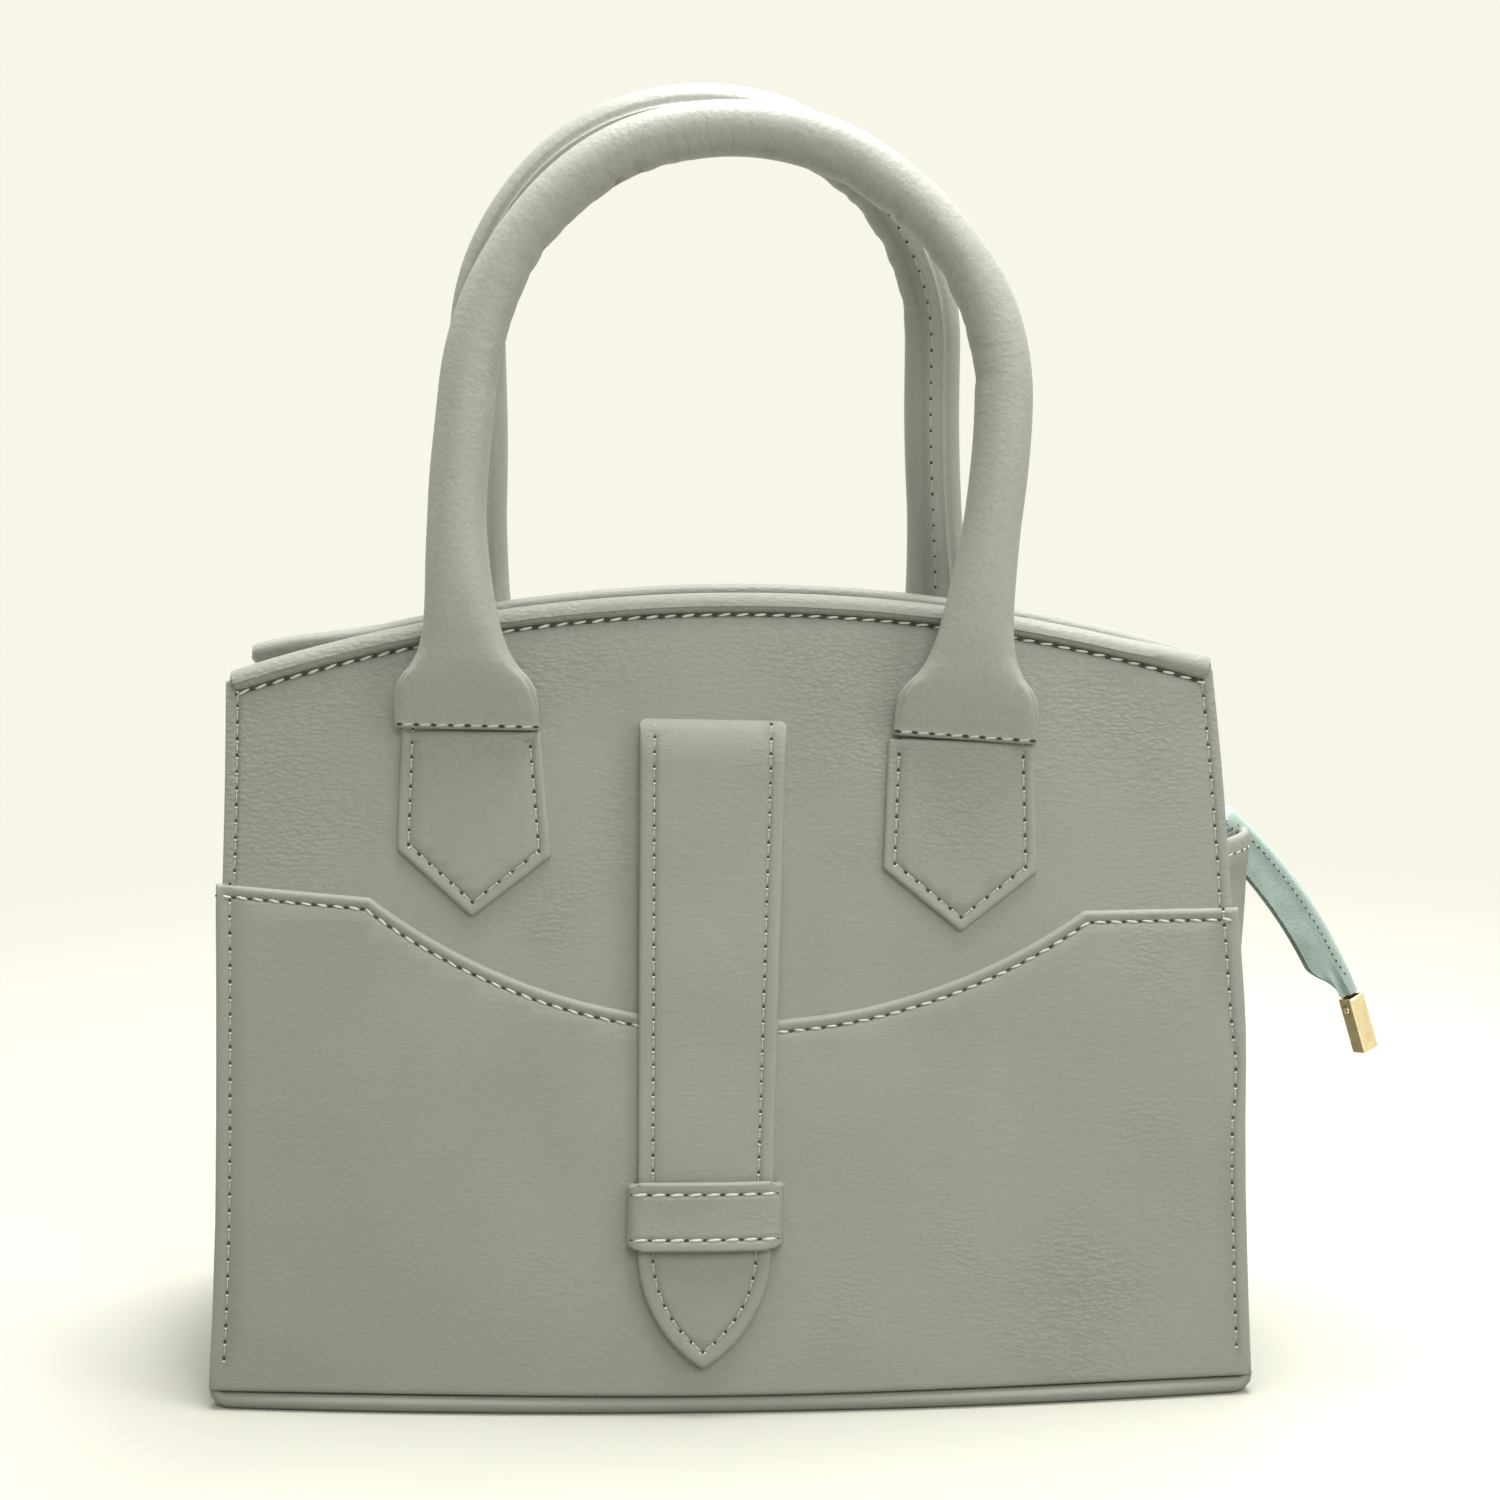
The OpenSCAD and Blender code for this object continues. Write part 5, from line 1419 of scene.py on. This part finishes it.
class BAG_OT_handles(Operator):
    """Rolls the two handles with flared sewn feet."""
    bl_idname = "bag.handles"
    bl_label = "Handles"

    def execute(self, context):
        for label, spec, body in (("front", FRONT_HANDLE, "front_handle"), ("rear", REAR_HANDLE, "rear_handle")):
            shape = HandleShape(spec, label)
            matrix = on_hinge(spec)
            if label == "rear":
                matrix = Matrix.Diagonal((1, -1, 1, 1)) @ matrix
            rows = 360
            marks = [0.0]
            # Close rings at the feet, wider ones on the rest of the handle
            weights = [0.45 if min(i, rows - i) < 40 else 1.0 for i in range(rows)]
            total = sum(weights)
            for w in weights:
                marks.append(marks[-1] + w / total)

            def wrap(u, v):
                d = shape.total * marks[round(u * rows)]
                return matrix @ shape.place(d, 2 * math.pi * v)

            # How much the bend wrinkles: it sets their relief and the painted shade in their troughs
            def bent(u, v):
                arc = (shape.total * marks[round(u * rows)] - shape.leg) / shape.half_arc
                around = 0.35 + 0.65 * max(0.0, -math.cos(2 * math.pi * v))
                return around * smooth_step((arc + 0.1) / 0.15) * smooth_step((1.1 - arc) / 0.15)
            mesh = loft(rows, 64, wrap, (shape.total, 48.0), closed=True, values=bent)
            finish_piece(label + "_rolled_handle", mesh, "smooth_leather", label + "_handle_cover", body=body)

            def on_foot(x, v, h):
                side = 1 if x > 0 else -1
                d = max(v, -0.8) + FOOT_END
                centre, _, half_x, half_y, corner = shape.section(d if side < 0 else shape.total - d)
                share = min(abs(x - centre.x) / half_x, 0.999)
                lift = half_y * (1 - share ** corner) ** (1 / corner)
                return matrix @ shape.tilted(Vector((x, v, centre.z + lift + h)))
            feet = [[(side * TAB_SPACING / 2 + spec["foot_shift"][side] + t, -0.35)
                     for t in np.linspace(1.2 - TAB_TOP_HALF, TAB_TOP_HALF - 1.2, 14)] for side in (-1, 1)]
            sew(label + "_foot_seams", feet, on_foot, -0.08, size("tab_pitch") * 1.08, body, fill=0.66, width=1.1,
                slant=8.0, hole=1.3)

            def on_seam(x, d, h):
                out = shape.section(d)[1]
                a = 1.5 * math.pi - 0.9 / HANDLE_R + x
                point = shape.place(d, a)
                away = (out * math.cos(a) + Vector((0, 0, 1)) * math.sin(a)).normalized()
                return matrix @ (point + away * h)
            run = [(0.0, d) for d in np.linspace(34, shape.total - 34, 90)]
            sew(label + "_handle_seam", [run], on_seam, 0.1, HANDLE_PITCH, body, width=0.7, sunk=True, hole=0.8)
            dress_node(label + "_handle_core", "cotton_core")
        return {"FINISHED"}


class BAG_OT_zip(Operator):
    """Makes the recessed zip with its folding facings, tapes, coil and slider."""
    bl_idname = "bag.zip"
    bl_label = "Zip"

    def execute(self, context):
        bend = flat_place(FACING_LOW)

        for label, sign in (("front", -1), ("rear", 1)):
            outer = [(FACING_HALF * t, sign * (wall_y(FACING_HALF * t, ZIP_Z, WALL) - 0.05))
                     for t in np.linspace(-1, 1, 25)]
            notch = FLAP_HALF + END_GAP
            inner = [(FACING_HALF, sign * FACING_INNER), (notch, sign * FACING_INNER), (notch, sign * FIXED_Y),
                     (-notch, sign * FIXED_Y), (-notch, sign * FACING_INNER), (-FACING_HALF, sign * FACING_INNER)]
            seam_y = sign * (FACING_INNER + 2.2)
            seam = [[(FACING_HALF - 3, seam_y), (notch + 1.5, seam_y)],
                    [(-FACING_HALF + 3, seam_y), (-notch - 1.5, seam_y)]]
            fixed = cut_sheet(outer + inner, bend, pressed(FACING_T, 0.0, 0.55, both=True, groove=0.2), ZIP_CELL,
                              (0.08, 0.25, 0.55), seam)
            finish_piece(label + "_fixed_facing", fixed, "grained_leather", label + "_zip_facing")
            sew(label + "_facing_seam", seam, bend, FACING_T - 0.12, size("tab_pitch"), fill=0.68)
            body = label + "_flap"
            flap = [(-FLAP_HALF, sign * FACING_INNER), (FLAP_HALF, sign * FACING_INNER),
                    (FLAP_HALF, sign * (FLAP_HINGE_Y + 0.65)), (-FLAP_HALF, sign * (FLAP_HINGE_Y + 0.65))]
            seam = [[(-FLAP_HALF + 2, seam_y), (FLAP_HALF - 2, seam_y)]]
            leaf = cut_sheet(flap, bend, pressed(FACING_T, 0.0, 0.62, both=True, groove=0.2), ZIP_CELL,
                             (0.08, 0.25, 0.6, 1.7, 2.0, 2.4, 2.7), seam)
            finish_piece(label + "_folding_facing", leaf, "grained_leather", label + "_flap_facing", body=body)
            sew(label + "_flap_seam", seam, bend, FACING_T - 0.12, size("tab_pitch"), body, fill=0.68)
            self.tape(label + "_folding_tape", sign, [(-FLAP_HALF, FLAP_HALF)], body, label + "_flap_tape")
            self.coil(label + "_folding_coil", [sign], [(-FLAP_HALF, FLAP_HALF)], body, label + "_flap_coil")
        ends = [(-FACING_HALF, -FLAP_HALF - END_GAP), (FLAP_HALF + END_GAP, TAPE_RIGHT)]
        self.tape("front_end_tape", -1, ends, "root", "zip_end_tapes")
        self.tape("rear_end_tape", 1, ends, "root")
        self.coil("end_coil", [-1, 1], [(-COIL_HALF, ends[0][1]), ends[1]], "root", "zip_end_coils")
        for node, body, offset in (("zip_top_stops", "root", 0.35), ("zip_slider", "slider", 0.32),
                                   ("zip_puller", "puller", 0.3)):
            self.softened(node, body, offset)
        return {"FINISHED"}

    def tape(self, name, sign, spans, body, *nodes):
        """Woven tape, a little thicker where the coil is sewn to it."""
        mesh = bmesh.new()
        for low, high in spans:
            outline = [(x, sign * y) for x, y in ((low, TAPE_INNER), (high, TAPE_INNER), (high, TAPE_OUTER),
                                                  (low, TAPE_OUTER))]

            def height(x, y, d, q):
                rib = 0.16 * math.exp(-((abs(y) - TAPE_INNER - 1.2) / 0.6) ** 2)
                return TAPE_T - 0.1 + rib - rounded_edge(d, 0.18), rounded_edge(d, 0.18)
            part = cut_sheet(outline, flat_place(FACING_LOW - TAPE_T), height, ZIP_CELL,
                             (0.1, 0.2, 0.8, 1.2, 1.7))
            data = bpy.data.meshes.new("strip")
            part.to_mesh(data)
            part.free()
            mesh.from_mesh(data)
            bpy.data.meshes.remove(data)
        finish_piece(name, mesh, "woven_tape", *nodes, body=body)

    def coil(self, name, signs, spans, body, node):
        """Rounded turns that reach in from both tapes in turn."""
        mesh = bmesh.new()
        pitch = size("tooth_pitch")
        for sign in signs:
            for low, high in spans:
                count = int((high - low) / pitch)
                for k in range(count):
                    x = low + (k + COIL_STARTS[sign]) * pitch
                    if x <= high - 0.3:
                        turn = Matrix.Translation((x, sign * COIL_Y, FACING_LOW)) @ Matrix.Diagonal(COIL_TURN)
                        bmesh.ops.create_uvsphere(mesh, u_segments=7, v_segments=5, radius=1.0, matrix=turn)
        finish_piece(name, mesh, "nylon_coil", node, body=body)

    def softened(self, node, body, offset):
        """A copy of a metal solid with its edges rounded."""
        mesh = bmesh.new()
        mesh.from_mesh(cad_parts[node].data)
        bmesh.ops.transform(mesh, matrix=Matrix.Scale(1000.0, 4), verts=mesh.verts)
        bmesh.ops.remove_doubles(mesh, verts=mesh.verts[:], dist=0.005)
        bmesh.ops.dissolve_limit(mesh, angle_limit=math.radians(2), verts=mesh.verts[:], edges=mesh.edges[:])
        sharp = [e for e in mesh.edges if len(e.link_faces) == 2 and e.calc_face_angle(0.0) > math.radians(40)]
        bmesh.ops.bevel(mesh, geom=sharp, offset=offset, affect="EDGES", segments=3, profile=0.5, material=-1,
                        clamp_overlap=True)
        finish_piece("polished_" + node, mesh, "gilt_metal", node, body=body)


def tail_centre(t):
    """Ridge of the tail: its place and direction in the XZ plane, and the distance run, for a share of its length."""
    d = t * TAIL_LENGTH
    start = Vector(TAIL_AT)
    way = Vector((math.cos(TAIL_START), -math.sin(TAIL_START)))
    if d < TAIL_NECK:
        p = d / TAIL_NECK
        first = Vector((TAIL_HINGE[0] + 0.2, TAIL_HINGE[1] + 1.1))
        a, b = first + Vector((2.6, 0.1)), start - way * 2.2
        point = first * (1 - p) ** 3 + a * 3 * p * (1 - p) ** 2 + b * 3 * p * p * (1 - p) + start * p ** 3
        slope = (a - first) * (1 - p) ** 2 + (b - a) * 2 * p * (1 - p) + (start - b) * p * p
        return point, slope.normalized(), d
    q = (d - TAIL_NECK) / TAIL_R + TAIL_START
    middle = start - TAIL_R * Vector((math.sin(TAIL_START), math.cos(TAIL_START)))
    return middle + TAIL_R * Vector((math.sin(q), math.cos(q))), Vector((math.cos(q), -math.sin(q))), d


def tail_leaf(t, m, offset):
    """A place on the folded tape. m runs from the front leaf's edge at -1 over the fold to the rear one at 1."""
    point, way, d = tail_centre(t)
    out = Vector((-way.y, way.x))
    if out.y < 0:
        out = -out
    opening = math.radians(5.0) + math.radians(56.0) * (1 - smooth_step(d / 11.0))
    gather = smooth_step((d - TAIL_LENGTH + 12.0) / 11.0)
    radius = 1.25 + 0.25 * gather
    width = TAIL_W - 5.3 * gather - (0.8 if m < 0 else 0.0) * (1 - gather)
    run = abs(m) * width
    sign = math.copysign(1.0, m)
    bend = math.pi / 2 - opening
    if run <= radius * bend:
        a = run / radius
        across, down = sign * radius * math.sin(a), -radius * (1 - math.cos(a))
        normal = (sign * math.sin(a), math.cos(a))
    else:
        rest = run - radius * bend
        across = sign * (radius * math.cos(opening) + rest * math.sin(opening) * 0.2)
        down = -radius * (1 - math.sin(opening)) - rest * math.cos(opening)
        across -= sign * (radius - 0.75) * smooth_step(rest / 3.0) * smooth_step((d - 6) / 8)
        if opening > 0.2:
            across += sign * rest * math.sin(opening) * 0.8
        normal = (sign * math.cos(opening), math.sin(opening))
        pleat = math.sin(rest * 2.3 + d * 0.25) * 0.75 * gather * smooth_step(rest / 1.2)
        belly = 0.9 * math.exp(-((d - TAIL_LENGTH + 17) / 7) ** 2) * math.sin(math.pi * min(1.0, rest / 9.0))
        ripple = 0.28 * noise.noise(Vector((d / 9, rest / 5, sign))) * smooth_step(rest / 2) * smooth_step(d / 9)
        across += sign * (belly + ripple) + pleat
    across += normal[0] * offset
    down += normal[1] * offset
    return Vector((point.x + out.x * down, across, point.y + out.y * down))


class BAG_OT_tail(Operator):
    """Folds the zip's tail over its coil and sets the end clamp on it."""
    bl_idname = "bag.tail"
    bl_label = "Zip tail"

    def execute(self, context):
        half = 26
        across = list(np.linspace(-1, 1, half)) + list(np.linspace(1, -1, half))
        loop = [(m, 0.36 if i < half else -0.36) for i, m in enumerate(across)]
        loop.append(loop[0])

        def fold(u, v):
            m, offset = loop[round(v * (len(loop) - 1))]
            return tail_leaf(u, m, offset)

        def shaded(u, v):
            m, _ = loop[round(v * (len(loop) - 1))]
            return smooth_step((u - 0.80) / 0.18) * (0.5 + 0.5 * math.sin(abs(m) * 15)) * 0.8
        mesh = loft(76, len(loop) - 1, fold, (62.0, 22.0), closed=True, values=shaded)
        finish_piece("folded_tail", mesh, "woven_tape", "zip_tail", body="tail")
        runs = [[(sign * 3.0, d) for d in np.linspace(TAIL_NECK, TAIL_LENGTH - 6, 40)] for sign in (-1, 1)]

        def on_tail(x, d, h):
            return tail_leaf(d / TAIL_LENGTH, x / TAIL_W, 0.36 + h)
        sew("tail_seam", runs, on_tail, 0.0, TAIL_PITCH, "tail", fill=0.45, width=0.6, slant=0.0, hole=0.55)
        coil = bmesh.new()
        pitch = size("tooth_pitch") * 1.05
        for k in range(int((TAIL_LENGTH - 16) / pitch)):
            point, way, _ = tail_centre((10 + k * pitch) / TAIL_LENGTH)
            out = Vector((-way.y, way.x))
            at = point - out * 1.25
            matrix = Matrix((Vector((way.x, 0, way.y)) * 0.42, Vector((0, 1.0, 0)),
                             Vector((out.x, 0, out.y)) * 0.95)).transposed().to_4x4()
            matrix.translation = Vector((at.x, 0, at.y))
            bmesh.ops.create_uvsphere(coil, u_segments=7, v_segments=5, radius=0.9, matrix=matrix)
        finish_piece("tail_coil_turns", coil, "nylon_coil", "zip_tail_coil", body="tail")
        turn = (Matrix.Rotation(math.pi / 2, 4, "X") @ Matrix.Translation((TAIL_AT[0], TAIL_AT[1], 0))
                @ Matrix.Rotation(-TAIL_START, 4, "Z") @ Matrix.Translation((0, -TAIL_R, 0))
                @ Matrix.Rotation(-TAIL_SWEEP, 4, "Z") @ Matrix.Translation((0, TAIL_R, 0))
                @ Matrix.Translation((0.9, -CLAMP_W / 3, 0)) @ Matrix.Rotation(math.radians(-5.5), 4, "Z")
                @ Matrix.Rotation(math.radians(-33), 4, "X"))
        clamp = bmesh.new()
        bmesh.ops.create_cube(clamp, size=1.0, matrix=Matrix.Translation((CLAMP_L / 2, 0, 0))
                              @ Matrix.Diagonal((CLAMP_L, CLAMP_W, CLAMP_T, 1)))
        mouth = min(clamp.faces, key=lambda f: f.calc_center_median().x)
        bmesh.ops.inset_region(clamp, faces=[mouth], thickness=0.9)
        deep = bmesh.ops.extrude_discrete_faces(clamp, faces=[mouth])["faces"]
        bmesh.ops.translate(clamp, vec=Vector((CLAMP_L / 2, 0, 0)), verts=list({v for f in deep for v in f.verts}))
        outer = [e for e in clamp.edges if e.calc_face_angle(0.0) > math.radians(40)
                 and max(abs(v.co.y) for v in e.verts) > CLAMP_W / 2 - 0.01]
        bmesh.ops.bevel(clamp, geom=outer, offset=0.85, affect="EDGES", segments=5, profile=0.55, material=-1,
                        clamp_overlap=True)
        bmesh.ops.transform(clamp, matrix=turn, verts=clamp.verts)
        bmesh.ops.recalc_face_normals(clamp, faces=clamp.faces[:])
        finish_piece("clamp_shell", clamp, "gilt_metal", "end_clamp", body="tail")
        seat = turn @ Matrix.Translation((CLAMP_L / 5, -CLAMP_W / 2, 0)) @ Matrix.Rotation(math.pi / 2, 4, "X")
        # A dark ring of painted shade round the screw head
        ring = bmesh.new()
        bmesh.ops.create_cone(ring, cap_ends=True, segments=24, radius1=1.28, radius2=1.2, depth=0.16, matrix=seat)
        finish_piece("clamp_screw_seat", ring, "needle_hole", body="tail", slot="gold")
        screw = bmesh.new()
        dome = seat @ Matrix.Translation((0, 0, 0.05)) @ Matrix.Diagonal((0.98, 0.98, 0.4, 1))
        bmesh.ops.create_uvsphere(screw, u_segments=20, v_segments=10, radius=1.0, matrix=dome)
        finish_piece("clamp_screw_head", screw, "gilt_metal", "clamp_screw", body="tail")
        return {"FINISHED"}


# Each lamp's name, place, aim, width, power and colour
LAMPS = (("overhead_softbox", (0.15, 0.18, 1.45), (0.0, 0.0, 0.15), 0.9, 35.0, (1.0, 1.0, 0.98)),
         ("front_fill", (0.25, -1.20, 1.15), (0.0, 0.0, 0.14), 0.8, 9.0, (1.0, 1.0, 0.99)),
         ("right_window", (1.15, -0.75, 0.90), (0.03, 0.0, 0.16), 0.6, 5.6, (1.0, 1.0, 0.99)),
         ("left_fill", (-1.2, 0.1, 0.8), (0.0, 0.0, 0.2), 0.9, 3.0, (1.0, 1.0, 0.99)),
         ("rear_fill", (0.4, 1.3, 0.9), (0.0, 0.0, 0.2), 1.0, 4.0, (1.0, 1.0, 0.99)))

# The camera as it was fitted to the photo: place, turns one after another, and lens
CAMERA_AT = (-0.0065, -0.650, 0.2508)
CAMERA_TURNS = ((-1.15, "Z"), (90 - 8.20, "X"), (-0.43, "Z"))
CAMERA_SENSOR = 36.0
CAMERA_LENS = 60.05

# How much of the backdrop's colour the lit paper has, for the camera and for the light it throws back
PAPER_SHOWN = 0.63
PAPER_SPECK = 0.63 * 0.95
PAPER_BOUNCE = 0.34


class BAG_OT_stage(Operator):
    """Sets the floor, the soft light and the camera."""
    bl_idname = "bag.stage"
    bl_label = "Stage"

    def execute(self, context):
        mesh = bmesh.new()
        bmesh.ops.create_circle(mesh, cap_ends=True, segments=96, radius=4.0)
        data = bpy.data.meshes.new("studio_floor")
        mesh.to_mesh(data)
        mesh.free()
        floor = bpy.data.objects.new("studio_floor", data)
        context.scene.collection.objects.link(floor)
        data.materials.append(self.floor_material())
        self.light_world(context.scene)
        for lamp in LAMPS:
            self.lamp(*lamp)
        camera = bpy.data.objects.new("photo_camera", bpy.data.cameras.new("photo_camera"))
        context.scene.collection.objects.link(camera)
        camera.matrix_world = Matrix.Translation(CAMERA_AT)
        for turn, axis in CAMERA_TURNS:
            camera.matrix_world = camera.matrix_world @ Matrix.Rotation(math.radians(turn), 4, axis)
        camera.data.sensor_width = CAMERA_SENSOR
        camera.data.lens = CAMERA_LENS
        camera.data.clip_start = 0.01
        context.scene.camera = camera
        context.scene.view_settings.view_transform = "Standard"
        return {"FINISHED"}

    def lamp(self, name, place, aim, width, power, shade):
        data = bpy.data.lights.new(name, "AREA")
        data.shape = "SQUARE"
        data.size = width
        data.energy = power
        data.color = shade
        lamp = bpy.data.objects.new(name, data)
        bpy.context.scene.collection.objects.link(lamp)
        turn = (Vector(aim) - Vector(place)).to_track_quat("-Z", "Y")
        lamp.matrix_world = Matrix.Translation(place) @ turn.to_matrix().to_4x4()

    def floor_material(self):
        """Pale paper that keeps the bag's shadow and runs into the backdrop's colour."""
        shader = Shader("studio_paper")
        spot = shader.node("ShaderNodeTexCoord", out="Object")
        reach = shader.node("ShaderNodeVectorMath", {"operation": "LENGTH"}, {0: spot}, out=1)
        far = shader.steps(reach, 0.30, 0.75)
        grain = shader.cloud(shader.place((60.0, 60.0, 60.0)), 2.0, 2.0)
        bare = shader.bare()
        shown = shader.mix(grain * 0.06, tint("paper", PAPER_SHOWN), tint("paper", PAPER_SPECK))
        paper = shader.mix(bare, tint("paper", PAPER_BOUNCE), shown)
        cloth = shader.node("ShaderNodeBsdfDiffuse", None, {"Color": paper})
        glow = shader.node("ShaderNodeEmission", None, {"Color": tint("paper"), "Strength": 1.0})
        both = shader.node("ShaderNodeMixShader", None, {0: bare * far, 1: cloth, 2: glow})
        shader.node("ShaderNodeOutputMaterial", None, {"Surface": both})
        return shader.material

    def light_world(self, scene):
        world = bpy.data.worlds.new("studio")
        world.use_nodes = True
        scene.world = world
        tree = world.node_tree
        tree.nodes.clear()
        shader = Shader.__new__(Shader)
        shader.tree = tree
        back = shader.node("ShaderNodeBackground", None, {"Color": tint("paper"), "Strength": 1.0})
        air = shader.node("ShaderNodeBackground", None, {"Color": (0.97, 1.0, 0.96, 1.0), "Strength": 0.18})
        both = shader.node("ShaderNodeMixShader", None, {0: shader.bare(), 1: air, 2: back})
        shader.node("ShaderNodeOutputWorld", None, {"Surface": both})


class BAG_PT_workshop(Panel):
    """Lists the steps in which the bag is made."""
    bl_idname = "BAG_PT_workshop"
    bl_label = "Top handle bag"
    bl_space_type = "VIEW_3D"
    bl_region_type = "UI"
    bl_category = "Bag"

    def draw(self, context):
        for step in STEPS:
            self.layout.operator(step.bl_idname)
        for group in (context.scene.bag_sizes, context.scene.bag_colours):
            box = self.layout.box()
            for name in group.__annotations__:
                box.prop(group, name)


STEPS = (BAG_OT_stage, BAG_OT_walls, BAG_OT_overlay, BAG_OT_base, BAG_OT_gussets, BAG_OT_bindings, BAG_OT_strap,
         BAG_OT_tabs, BAG_OT_handles, BAG_OT_zip, BAG_OT_tail)
CLASSES = (BagSizes, BagColours) + STEPS + (BAG_PT_workshop,)


def register():
    for item in CLASSES:
        bpy.utils.register_class(item)
    bpy.types.Scene.bag_sizes = PointerProperty(type=BagSizes)
    bpy.types.Scene.bag_colours = PointerProperty(type=BagColours)


def unregister():
    del bpy.types.Scene.bag_colours
    del bpy.types.Scene.bag_sizes
    for item in reversed(CLASSES):
        bpy.utils.unregister_class(item)


def main():
    register()
    for step in STEPS:
        group, name = step.bl_idname.split(".")
        getattr(getattr(bpy.ops, group), name)()
    bpy.context.view_layer.update()


if __name__ == "__main__":
    main()
